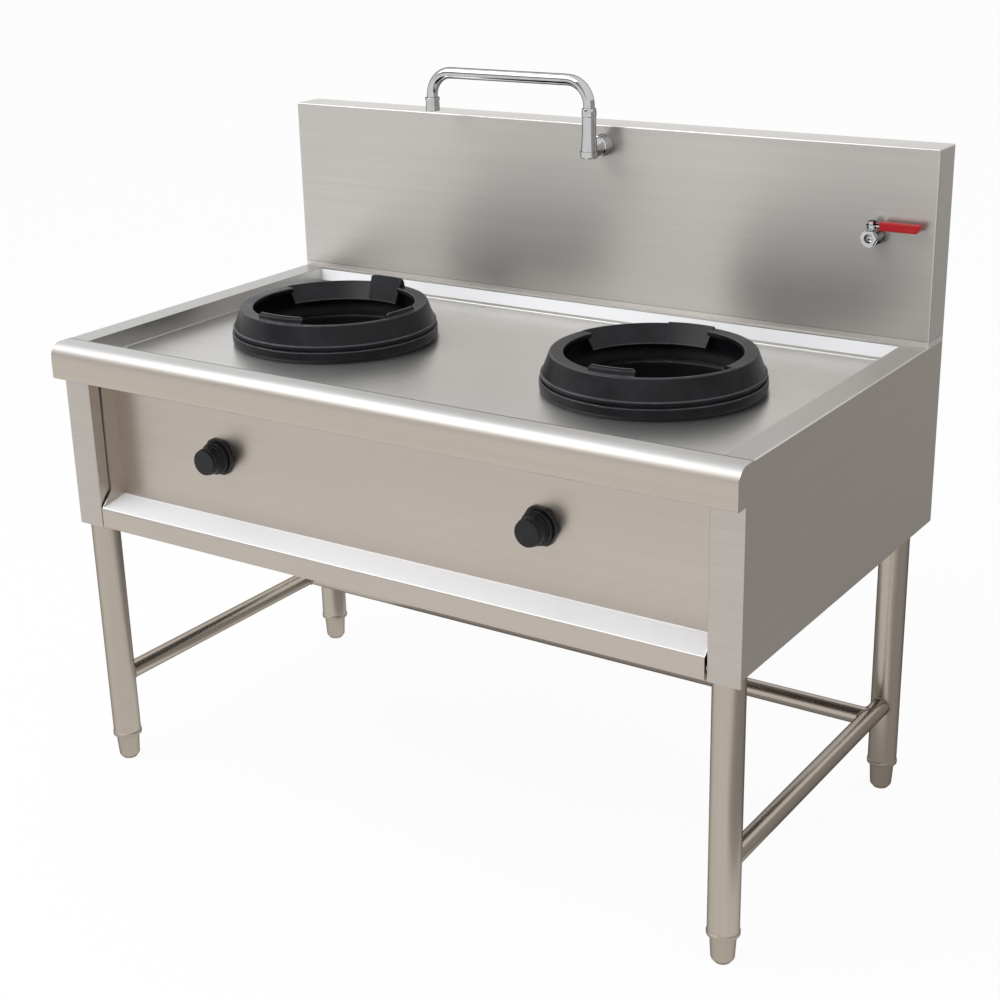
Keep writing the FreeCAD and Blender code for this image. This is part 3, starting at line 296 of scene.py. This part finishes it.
# black cast iron of the wok rings, raw iron of the burners, soot in the chambers
ironLooks = {
    "ringIron": {"color": (0.005, 0.0054, 0.007), "worn": (0.016, 0.017, 0.020), "rough": (0.30, 0.45),
                 "pits": 520.0, "depth": 0.0006, "strength": 0.35, "gloss": 0.23},
    "burnerIron": {"color": (0.018, 0.016, 0.015), "worn": (0.045, 0.033, 0.026), "rough": (0.6, 0.8),
                   "pits": 420.0, "depth": 0.0008, "strength": 0.5, "gloss": 0.16},
    "chamberSoot": {"color": (0.005, 0.005, 0.005), "worn": (0.013, 0.012, 0.012), "rough": (0.7, 0.9),
                    "pits": 260.0, "depth": 0.0006, "strength": 0.4, "gloss": 0.16},
}
# what all cast iron shares: lumps and patches, where the worn patches start and end, how uneven the painted
# edge highlights are
casting = {"lumps": 55.0, "patches": 14.0, "wornRange": (0.42, 0.78), "ringHighlightAmount": (0.45, 1.0)}
# painted highlights along the edges of the wok rings: radius and height of each line, and how far it reaches
paintedRingHighlights = {
    "axisX": 0.320, "axisY": -0.010, "color": (0.085, 0.088, 0.098), "full": 0.5, "gone": 1.6,
    "lines": ((0.1636, 0.8372, 0.0011), (0.1425, 0.8366, 0.0011), (0.1615, 0.8384, 0.0012),
              (0.1571, 0.8500, 0.0013), (0.1566, 0.8520, 0.0013), (0.1588, 0.8460, 0.0013),
              (0.1370, 0.8092, 0.0012), (0.1782, 0.8045, 0.0013), (0.1806, 0.7946, 0.0011)),
}


def ringHighlightMask(tree, w):
    # both rings at once: the distance from a ring's axis and the height give the place on its section
    where = partsOf(tree, "Object")
    across = mathOf(tree, "SUBTRACT", mathOf(tree, "ABSOLUTE", where[0], 0.0), w["axisX"])
    along = mathOf(tree, "SUBTRACT", where[1], w["axisY"])
    flat = addNode(tree, "ShaderNodeCombineXYZ")
    tree.links.new(across, flat.inputs[0])
    tree.links.new(along, flat.inputs[1])
    reach = addNode(tree, "ShaderNodeVectorMath", operation="LENGTH")
    tree.links.new(flat.outputs[0], reach.inputs[0])
    section = addNode(tree, "ShaderNodeCombineXYZ")
    tree.links.new(reach.outputs["Value"], section.inputs[0])
    tree.links.new(where[2], section.inputs[2])
    mask = None
    for radius, height, width in w["lines"]:
        away = addNode(tree, "ShaderNodeVectorMath", operation="DISTANCE")
        tree.links.new(section.outputs[0], away.inputs[0])
        away.inputs[1].default_value = (radius, 0, height)
        line = remap(tree, away.outputs["Value"], 1.0, 0.0, width * w["full"], width * w["gone"])
        mask = line if mask is None else mathOf(tree, "MAXIMUM", mask, line)
    return mask


def castIron(name, look):
    mat, tree, shader = makeMaterial(name)
    grains = noise(tree, scale=look["pits"], detail=5.0, rough=0.65)
    lumps = noise(tree, scale=casting["lumps"], detail=3.0)
    patches = noise(tree, scale=casting["patches"], detail=4.0, rough=0.6)
    worn = remap(tree, patches, 0.0, 1.0, *casting["wornRange"])
    tone = blendColor(tree, worn, look["color"], look["worn"])
    # painted highlights on the ring's edges, broken up unevenly by the lumps
    if name == "ringIron":
        uneven = remap(tree, lumps, *casting["ringHighlightAmount"])
        ringHighlightAmount = mathOf(tree, "MULTIPLY", ringHighlightMask(tree, paintedRingHighlights), uneven)
        tone = blendColor(tree, ringHighlightAmount, tone, paintedRingHighlights["color"])
    tree.links.new(tone, shader.inputs["Base Color"])
    tree.links.new(remap(tree, patches, *look["rough"]), shader.inputs["Roughness"])
    shader.inputs["Specular IOR Level"].default_value = look["gloss"]
    swelling = bump(tree, shader, lumps, look["strength"] * 0.5, look["depth"] * 2)
    bump(tree, shader, grains, look["strength"], look["depth"], after=swelling)
    return mat


# moulded plastics: knobs, nuts and the lever sleeve
plasticLooks = {
    "knobBlack": {"color": (0.006, 0.0063, 0.0072), "scuffed": (0.02, 0.021, 0.023), "rough": (0.24, 0.4),
                  "peel": 700.0},
    "sleeveRed": {"color": (0.36, 0.005, 0.010), "scuffed": (0.55, 0.06, 0.06), "rough": (0.28, 0.42),
                  "peel": 420.0},
}
moulding = {"scuffs": (60, 60, 190), "scuffRange": (0.55, 0.85), "gloss": 0.3, "strength": 0.12,
            "depth": 0.0003}


def moulded(name, look):
    mat, tree, shader = makeMaterial(name)
    peel = noise(tree, scale=look["peel"], detail=2.0)
    scuffs = noise(tree, moulding["scuffs"], detail=5.0, rough=0.7)
    scuffed = remap(tree, scuffs, 0.0, 1.0, *moulding["scuffRange"])
    tone = blendColor(tree, scuffed, look["color"], look["scuffed"])
    tree.links.new(tone, shader.inputs["Base Color"])
    tree.links.new(remap(tree, scuffs, *look["rough"]), shader.inputs["Roughness"])
    shader.inputs["Specular IOR Level"].default_value = moulding["gloss"]
    bump(tree, shader, peel, moulding["strength"], moulding["depth"])
    return mat


# smooth metals: chrome of the tap, brass of the gas parts, welds, screws, painted and drawn pipes
metalLooks = {
    # edge 0 paints the chrome dark towards its outline, painted shade
    "tapChrome": {"color": (0.56, 0.56, 0.565), "dull": (0.46, 0.46, 0.465), "rough": (0.02, 0.08),
                  "metal": 1.0, "turning": 900.0, "edge": 0.0},
    "gasBrass": {"color": (0.70, 0.50, 0.22), "dull": (0.45, 0.32, 0.16), "rough": (0.22, 0.42),
                 "metal": 1.0, "turning": 1200.0, "edge": 0.8},
    "waterPipe": {"color": (0.56, 0.55, 0.53), "dull": (0.46, 0.45, 0.43), "rough": (0.26, 0.4),
                  "metal": 1.0, "turning": 500.0, "edge": 0.8},
    "weldSteel": {"color": (0.42, 0.37, 0.32), "dull": (0.30, 0.25, 0.22), "rough": (0.26, 0.42),
                  "metal": 1.0, "turning": 900.0, "edge": 0.5},
    "screwSteel": {"color": (0.60, 0.60, 0.59), "dull": (0.45, 0.45, 0.44), "rough": (0.2, 0.36),
                   "metal": 1.0, "turning": 900.0, "edge": 0.8},
    "gasPipe": {"color": (0.05, 0.05, 0.052), "dull": (0.09, 0.085, 0.08), "rough": (0.45, 0.6),
                "metal": 0.0, "turning": 300.0, "edge": 1.0},
}
metalwork = {"spots": 38.0, "dullRange": (0.45, 0.8), "strength": 0.04, "depth": 0.0002}


def smoothMetal(name, look):
    mat, tree, shader = makeMaterial(name)
    spots = noise(tree, scale=metalwork["spots"], detail=4.0, rough=0.6)
    lines = noise(tree, scale=look["turning"], detail=2.0)
    dulled = remap(tree, spots, 0.0, 1.0, *metalwork["dullRange"])
    tone = blendColor(tree, dulled, look["color"], look["dull"])
    tree.links.new(tone, shader.inputs["Base Color"])
    tree.links.new(remap(tree, spots, *look["rough"]), shader.inputs["Roughness"])
    shader.inputs["Metallic"].default_value = look["metal"]
    shader.inputs["Specular Tint"].default_value = (look["edge"], look["edge"], look["edge"], 1)
    bump(tree, shader, lines, metalwork["strength"], metalwork["depth"])
    return mat


finishes = {}
for looks, makeFinish in ((steelLooks, brushedSteel), (ironLooks, castIron),
                          (plasticLooks, moulded), (metalLooks, smoothMetal)):
    for name, look in looks.items():
        finishes[name] = makeFinish(name, look)
print("finishes made:", len(finishes))


# which finish each node gets, by how its name starts; the first that fits counts
nodeFinishes = [
    ("worktop_pan", "topSteel"), ("front_nose", "noseSteel"), ("nose_cap", "sideSteel"),
    ("side_panel", "sideSteel"), ("control_panel", "traySteel"), ("splash_skin", "splashSteel"),
    ("splash_back", "innerSteel"), ("rear_panel", "innerSteel"), ("back_screws", "innerSteel"),
    ("leg_socket", "innerSteel"), ("leg", "legSteel"), ("foot_inserts", "innerSteel"),
    ("foot", "footSteel"), ("side_stretcher", "sideTubeSteel"), ("cross_stretcher", "crossTubeSteel"),
    ("wok_ring", "ringIron"), ("burner_chamber", "chamberSoot"), ("burner_bearer", "innerSteel"),
    ("burner", "burnerIron"), ("pan_stiffener", "innerSteel"), ("injector", "gasBrass"),
    ("gas_valve", "gasBrass"), ("valve_stem", "gasBrass"), ("gas_manifold", "gasPipe"),
    ("water_pipe", "waterPipe"), ("pipe_locknuts", "gasBrass"), ("knob", "knobBlack"),
    ("lever_sleeve", "sleeveRed"), ("tap", "tapChrome"), ("swivel_nut", "tapChrome"),
    ("spout", "tapChrome"), ("lever", "tapChrome"), ("valve_lever", "tapChrome"),
    ("ball_stem", "tapChrome"),
]


def dressNodes():
    for name, node in cadNodes.items():
        finish = next(finish for start, finish in nodeFinishes if name.startswith(start))
        for place in node.material_slots:
            place.material = finishes[finish]


dressNodes()
print("nodes dressed")


# floor, world, lamps, and grey cards that only show in the metal's reflections
studio = {
    "floorSize": 60.0, "floorColor": (0.86, 0.86, 0.86), "floorRough": 0.9, "ownWhite": 0.94,
    "worldLight": 0.76, "cardTint": (1.0, 0.97, 0.94),
    "lamps": [
        {"name": "topLamp", "place": (-1.5, -1.5, 3.2), "aim": (0, -0.1, 0.8), "size": (3.0, 2.2),
         "watts": 56, "mirrored": True},
        {"name": "frontLamp", "place": (-0.4, -3.4, 1.9), "aim": (0, 0, 0.6), "size": (2.4, 1.6),
         "watts": 26, "mirrored": False},
    ],
    "cards": [
        {"name": "rightFlag", "grey": 0.42,
         "corners": ((1.9, -0.8, 0.0), (1.9, 6.5, 0.0), (1.9, 6.5, 1.5), (1.9, -0.8, 1.5))},
        {"name": "rightMat", "grey": 0.42,
         "corners": ((0.9, -0.8, 0.002), (1.9, -0.8, 0.002), (1.9, 6.5, 0.002), (0.9, 6.5, 0.002))},
        {"name": "leftFlag", "grey": 0.34,
         "corners": ((-5.5, -4.2, 1.2), (0.0, -4.2, 1.2), (0.0, -4.2, 5.2), (-5.5, -4.2, 5.2))},
        {"name": "underMat", "grey": 0.42,
         "corners": ((-0.5, 0.0, 0.002), (0.9, 0.0, 0.002), (0.9, 0.8, 0.002), (-0.5, 0.8, 0.002))},
        {"name": "backMat", "grey": 0.15,
         "corners": ((-2.6, 0.8, 0.002), (0.9, 0.8, 0.002), (0.9, 2.8, 0.002), (-2.6, 2.8, 0.002))},
    ],
}


def shownWhite(tree):
    # camera, glossy and see-through rays get the white of the backdrop
    path = addNode(tree, "ShaderNodeLightPath")
    seen = mathOf(tree, "MAXIMUM", path.outputs["Is Camera Ray"], path.outputs["Is Glossy Ray"])
    return mathOf(tree, "MAXIMUM", seen, path.outputs["Is Transmission Ray"])


def layFlat(name, corners):
    # one flat face with a dull material of its own
    mesh = bpy.data.meshes.new(name)
    mesh.from_pydata(corners, [], [(0, 1, 2, 3)])
    sheet = bpy.data.objects.new(name, mesh)
    bpy.context.collection.objects.link(sheet)
    mat, tree, shader = makeMaterial(name)
    shader.inputs["Specular IOR Level"].default_value = 0.0
    mesh.materials.append(mat)
    return sheet, tree, shader


def makeWorld(s):
    world = bpy.data.worlds.new("studioWorld")
    bpy.context.scene.world = world
    world.use_nodes = True
    tree = world.node_tree
    back = tree.nodes["Background"]
    back.inputs["Color"].default_value = (1, 1, 1, 1)
    strength = remap(tree, shownWhite(tree), s["worldLight"], 1.0, 0.0, 1.0)
    tree.links.new(strength, back.inputs["Strength"])


def makeFloor(s):
    half = s["floorSize"] / 2
    corners = [(-half, -half, 0), (half, -half, 0), (half, half, 0), (-half, half, 0)]
    floor, tree, shader = layFlat("studioFloor", corners)
    shader.inputs["Base Color"].default_value = (*s["floorColor"], 1)
    shader.inputs["Roughness"].default_value = s["floorRough"]
    glow = addNode(tree, "ShaderNodeEmission")
    mix = addNode(tree, "ShaderNodeMixShader")
    tree.links.new(mathOf(tree, "MULTIPLY", shownWhite(tree), s["ownWhite"]), mix.inputs[0])
    tree.links.new(shader.outputs["BSDF"], mix.inputs[1])
    tree.links.new(glow.outputs["Emission"], mix.inputs[2])
    tree.links.new(mix.outputs["Shader"], tree.nodes["Material Output"].inputs["Surface"])


def makeCards(s):
    for card in s["cards"]:
        flag, tree, shader = layFlat(card["name"], card["corners"])
        glow = [card["grey"] * part for part in s["cardTint"]]
        shader.inputs["Base Color"].default_value = (0, 0, 0, 1)
        shader.inputs["Emission Color"].default_value = (*glow, 1)
        shader.inputs["Emission Strength"].default_value = 1.0
        for ray in ("camera", "diffuse", "transmission", "volume_scatter", "shadow"):
            setattr(flag, "visible_" + ray, False)


def makeLamps(s):
    for lamp in s["lamps"]:
        data = bpy.data.lights.new(lamp["name"], "AREA")
        data.shape = "RECTANGLE"
        data.size, data.size_y = lamp["size"]
        data.energy = lamp["watts"]
        light = bpy.data.objects.new(lamp["name"], data)
        light.location = lamp["place"]
        away = Vector(lamp["aim"]) - Vector(lamp["place"])
        light.rotation_euler = away.to_track_quat("-Z", "Y").to_euler()
        light.visible_glossy = lamp["mirrored"]
        bpy.context.collection.objects.link(light)


makeWorld(studio)
makeFloor(studio)
makeCards(studio)
makeLamps(studio)
print("studio lit")


# geometry nodes: a tree with named inputs, run once and kept as a plain mesh
def repeatTree(name, inputs):
    tree = bpy.data.node_groups.new(name, "GeometryNodeTree")
    tree.interface.new_socket("Geometry", in_out="INPUT", socket_type="NodeSocketGeometry")
    kinds = {float: "NodeSocketFloat", int: "NodeSocketInt", bpy.types.Object: "NodeSocketObject"}
    for key, value in inputs.items():
        kind = next(kinds[sort] for sort in kinds if isinstance(value, sort))
        tree.interface.new_socket(key, in_out="INPUT", socket_type=kind)
    tree.interface.new_socket("Geometry", in_out="OUTPUT", socket_type="NodeSocketGeometry")
    return tree, tree.nodes.new("NodeGroupInput"), tree.nodes.new("NodeGroupOutput")


def finishTree(tree, geometry, finish, goal):
    realize = addNode(tree, "GeometryNodeRealizeInstances")
    dress = addNode(tree, "GeometryNodeSetMaterial")
    dress.inputs["Material"].default_value = finishes[finish]
    tree.links.new(geometry, realize.inputs["Geometry"])
    tree.links.new(realize.outputs["Geometry"], dress.inputs["Geometry"])
    tree.links.new(dress.outputs["Geometry"], goal.inputs["Geometry"])


def makeSource(name, points, edges=()):
    mesh = bpy.data.meshes.new(name)
    mesh.from_pydata(points, edges, [])
    source = bpy.data.objects.new(name, mesh)
    bpy.context.collection.objects.link(source)
    return source


def runTree(name, source, tree, inputs):
    modifier = source.modifiers.new(name, "NODES")
    modifier.node_group = tree
    for item in tree.interface.items_tree:
        if item.in_out == "INPUT" and item.name in inputs:
            modifier[item.identifier] = inputs[item.name]
    view = bpy.context.evaluated_depsgraph_get()
    mesh = bpy.data.meshes.new_from_object(source.evaluated_get(view))
    mesh.name = name
    piece = bpy.data.objects.new(name, mesh)
    bpy.context.collection.objects.link(piece)
    bpy.data.objects.remove(source)
    return piece


# weld beads where the stretchers meet the legs and each other
welds = {
    "legRadius": 0.025, "tubeRadius": 0.016, "height": 0.166, "legX": 0.618,
    "frontY": -0.322, "rearY": 0.2965, "crossY": 0.225, "steps": 96,
    "bead": 0.0021, "ripple": 0.0013, "pitch": 0.0015, "least": 0.88, "most": 1.12, "rounding": 2, "seed": 7,
}


def weldPaths(w):
    # closed lines where one tube runs into another
    paths = []
    around = [2 * math.pi * step / w["steps"] for step in range(w["steps"])]
    r = w["tubeRadius"]
    for side in (-1, 1):
        for legY, way in ((w["frontY"], 1), (w["rearY"], -1)):
            paths.append([(side * w["legX"] + r * math.cos(a),
                           legY + way * math.sqrt(w["legRadius"] ** 2 - (r * math.cos(a)) ** 2),
                           w["height"] + r * math.sin(a)) for a in around])
        # round the side tube, where the cross tube of the same size runs into it
        paths.append([(side * (w["legX"] - math.sqrt(max(0.0, r * r - (r * math.sin(a)) ** 2))),
                       w["crossY"] + r * math.cos(a), w["height"] + r * math.sin(a)) for a in around])
    return paths


def makeWelds(w):
    points, edges = [], []
    for path in weldPaths(w):
        first = len(points)
        points += path
        edges += [(first + i, first + (i + 1) % len(path)) for i in range(len(path))]
    source = makeSource("weldLines", points, edges)
    sizes = {key: w[key] for key in ("bead", "ripple", "pitch", "seed")}
    tree, given, goal = repeatTree("weldRipples", sizes)
    line = addNode(tree, "GeometryNodeMeshToCurve")
    spread = addNode(tree, "GeometryNodeCurveToPoints", mode="LENGTH")
    drop = addNode(tree, "GeometryNodeMeshIcoSphere")
    drop.inputs["Subdivisions"].default_value = w["rounding"]
    drop.inputs["Radius"].default_value = 1.0
    shape = addNode(tree, "ShaderNodeCombineXYZ")
    vary = addNode(tree, "FunctionNodeRandomValue", data_type="FLOAT")
    vary.inputs[2].default_value = w["least"]
    vary.inputs[3].default_value = w["most"]
    grow = addNode(tree, "ShaderNodeVectorMath", operation="SCALE")
    place = addNode(tree, "GeometryNodeInstanceOnPoints")
    tree.links.new(given.outputs["Geometry"], line.inputs["Mesh"])
    tree.links.new(line.outputs["Curve"], spread.inputs["Curve"])
    tree.links.new(given.outputs["pitch"], spread.inputs["Length"])
    tree.links.new(given.outputs["seed"], vary.inputs["Seed"])
    for index, key in enumerate(("bead", "bead", "ripple")):
        tree.links.new(given.outputs[key], shape.inputs[index])
    tree.links.new(shape.outputs[0], grow.inputs[0])
    tree.links.new(vary.outputs[1], grow.inputs["Scale"])
    tree.links.new(spread.outputs["Points"], place.inputs["Points"])
    tree.links.new(spread.outputs["Rotation"], place.inputs["Rotation"])
    tree.links.new(drop.outputs["Mesh"], place.inputs["Instance"])
    tree.links.new(grow.outputs[0], place.inputs["Scale"])
    finishTree(tree, place.outputs["Instances"], "weldSteel", goal)
    piece = runTree("weld_beads", source, tree, sizes)
    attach(piece, "range")


makeWelds(welds)
print("welds made")


# cross-headed screws of the two back covers, in place of the plain ones
screws = {
    "acrossX": 0.63925, "coverY": 0.372, "heights": (0.515, 0.64425, 0.7735, 0.835, 0.965, 1.095),
    "headRadius": 0.0042, "headHeight": 0.0024, "rimShare": 0.3, "crownShare": 0.7,
    "bulgeAngles": (90, 75, 60, 45, 30, 15), "shankRadius": 0.002, "shankLength": 0.009,
    "slotLength": 0.0046, "slotWidth": 0.0009, "slotDepth": 0.0014, "segments": 28, "seed": 3,
}


def latheMesh(name, profile, segments):
    # profile of (radius, height) about Z
    shape = bmesh.new()
    rings = []
    for radius, height in profile:
        if radius == 0:
            rings.append([shape.verts.new((0, 0, height))])
        else:
            rings.append([shape.verts.new((radius * math.cos(2 * math.pi * i / segments),
                                           radius * math.sin(2 * math.pi * i / segments), height))
                          for i in range(segments)])
    for low, high in zip(rings, rings[1:]):
        for i in range(segments):
            j = (i + 1) % segments
            corners = [low[i % len(low)], low[j % len(low)], high[j % len(high)], high[i % len(high)]]
            shape.faces.new(list(dict.fromkeys(corners)))
    bmesh.ops.recalc_face_normals(shape, faces=shape.faces)
    mesh = bpy.data.meshes.new(name)
    shape.to_mesh(mesh)
    shape.free()
    return mesh


def makeScrewHead(s):
    bulge = [(s["headRadius"] * math.sin(a),
              s["headHeight"] * (s["rimShare"] + s["crownShare"] * math.cos(a)))
             for a in (math.radians(step) for step in s["bulgeAngles"])]
    profile = [(0, -s["shankLength"]), (s["shankRadius"], -s["shankLength"]), (s["shankRadius"], 0),
               (s["headRadius"], 0)] + bulge + [(0, s["headHeight"])]
    head = bpy.data.objects.new("screwHead", latheMesh("screwHead", profile, s["segments"]))
    bpy.context.collection.objects.link(head)
    cutter = bmesh.new()
    for x, y in ((s["slotLength"], s["slotWidth"]), (s["slotWidth"], s["slotLength"])):
        grown = bmesh.ops.create_cube(cutter, size=1.0)["verts"]
        bmesh.ops.scale(cutter, vec=(x, y, 2 * s["slotDepth"]), verts=grown)
        bmesh.ops.translate(cutter, vec=(0, 0, s["headHeight"]), verts=grown)
    mesh = bpy.data.meshes.new("screwSlot")
    cutter.to_mesh(mesh)
    cutter.free()
    slot = bpy.data.objects.new("screwSlot", mesh)
    bpy.context.collection.objects.link(slot)
    carve = head.modifiers.new("carve", "BOOLEAN")
    carve.object = slot
    carve.operation = "DIFFERENCE"
    carve.solver = "EXACT"
    carve.use_self = True
    view = bpy.context.evaluated_depsgraph_get()
    carved = bpy.data.meshes.new_from_object(head.evaluated_get(view))
    head.modifiers.remove(carve)
    head.data = carved
    bpy.data.objects.remove(slot)
    return head


def makeScrews(s):
    head = makeScrewHead(s)
    points = [(side * s["acrossX"], s["coverY"], z) for side in (-1, 1) for z in s["heights"]]
    source = makeSource("screwPoints", points)
    sizes = {"head": head, "seed": s["seed"]}
    tree, given, goal = repeatTree("screwRows", sizes)
    info = addNode(tree, "GeometryNodeObjectInfo")
    toPoints = addNode(tree, "GeometryNodeMeshToPoints")
    vary = addNode(tree, "FunctionNodeRandomValue", data_type="FLOAT")
    vary.inputs[2].default_value = 0.0
    vary.inputs[3].default_value = math.pi / 2
    spin = addNode(tree, "ShaderNodeCombineXYZ")
    turn = addNode(tree, "FunctionNodeEulerToRotation")
    tip = addNode(tree, "FunctionNodeRotateRotation", rotation_space="LOCAL")
    level = addNode(tree, "ShaderNodeCombineXYZ")
    level.inputs[0].default_value = -math.pi / 2
    tilt = addNode(tree, "FunctionNodeEulerToRotation")
    place = addNode(tree, "GeometryNodeInstanceOnPoints")
    tree.links.new(given.outputs["Geometry"], toPoints.inputs["Mesh"])
    tree.links.new(given.outputs["head"], info.inputs["Object"])
    tree.links.new(given.outputs["seed"], vary.inputs["Seed"])
    tree.links.new(vary.outputs[1], spin.inputs[2])
    tree.links.new(spin.outputs[0], turn.inputs[0])
    tree.links.new(level.outputs[0], tilt.inputs[0])
    tree.links.new(tilt.outputs[0], tip.inputs[0])
    tree.links.new(turn.outputs[0], tip.inputs[1])
    tree.links.new(toPoints.outputs[0], place.inputs["Points"])
    tree.links.new(info.outputs["Geometry"], place.inputs["Instance"])
    tree.links.new(tip.outputs[0], place.inputs["Rotation"])
    finishTree(tree, place.outputs["Instances"], "screwSteel", goal)
    piece = runTree("cover_screws", source, tree, sizes)
    bpy.data.objects.remove(head)
    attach(piece, "range")
    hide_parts("back_screws")


makeScrews(screws)
print("cover screws made")


# honeycomb in the outlet of the spout
honeycomb = {
    "center": (-0.292, 0.268), "low": 1.1372, "height": 0.0035, "cell": 0.00095, "wall": 0.00012,
    "reach": 0.0083, "slack": 0.0006, "cellSides": 6,
}


def cellPlaces(h):
    # rows of cells, every other row half a cell aside, as far as they fit in the round outlet
    points = []
    pitch = h["cell"] * math.sqrt(3)
    rowStep = 1.5 * h["cell"]
    rows = int(h["reach"] / rowStep) + 1
    for row in range(-rows, rows + 1):
        for column in range(-rows - 2, rows + 3):
            x, y = pitch * (column + 0.5 * (row % 2)), rowStep * row
            if math.hypot(x, y) + h["cell"] <= h["reach"] + h["slack"]:
                points.append((h["center"][0] + x, h["center"][1] + y, h["low"] + h["height"] / 2))
    return points


def makeHoneycomb(h):
    source = makeSource("cellPoints", cellPlaces(h))
    sizes = {key: h[key] for key in ("cell", "height", "wall")}
    tree, given, goal = repeatTree("outletCells", sizes)
    toPoints = addNode(tree, "GeometryNodeMeshToPoints")
    rim = addNode(tree, "GeometryNodeMeshCylinder", fill_type="NONE")
    rim.inputs["Vertices"].default_value = h["cellSides"]
    thick = addNode(tree, "GeometryNodeExtrudeMesh", mode="FACES")
    inward = mathOf(tree, "MULTIPLY", given.outputs["wall"], -1.0)
    place = addNode(tree, "GeometryNodeInstanceOnPoints")
    tree.links.new(given.outputs["Geometry"], toPoints.inputs["Mesh"])
    tree.links.new(given.outputs["cell"], rim.inputs["Radius"])
    tree.links.new(given.outputs["height"], rim.inputs["Depth"])
    tree.links.new(rim.outputs["Mesh"], thick.inputs["Mesh"])
    tree.links.new(inward, thick.inputs["Offset Scale"])
    thick.inputs["Individual"].default_value = False
    both = addNode(tree, "GeometryNodeJoinGeometry")
    flip = addNode(tree, "GeometryNodeFlipFaces")
    tree.links.new(thick.outputs["Mesh"], flip.inputs["Mesh"])
    tree.links.new(flip.outputs["Mesh"], both.inputs[0])
    tree.links.new(rim.outputs["Mesh"], both.inputs[0])
    tree.links.new(toPoints.outputs[0], place.inputs["Points"])
    tree.links.new(both.outputs[0], place.inputs["Instance"])
    finishTree(tree, place.outputs["Instances"], "screwSteel", goal)
    piece = runTree("outlet_cells", source, tree, sizes)
    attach(piece, "spout")


makeHoneycomb(honeycomb)
print("outlet honeycomb made")
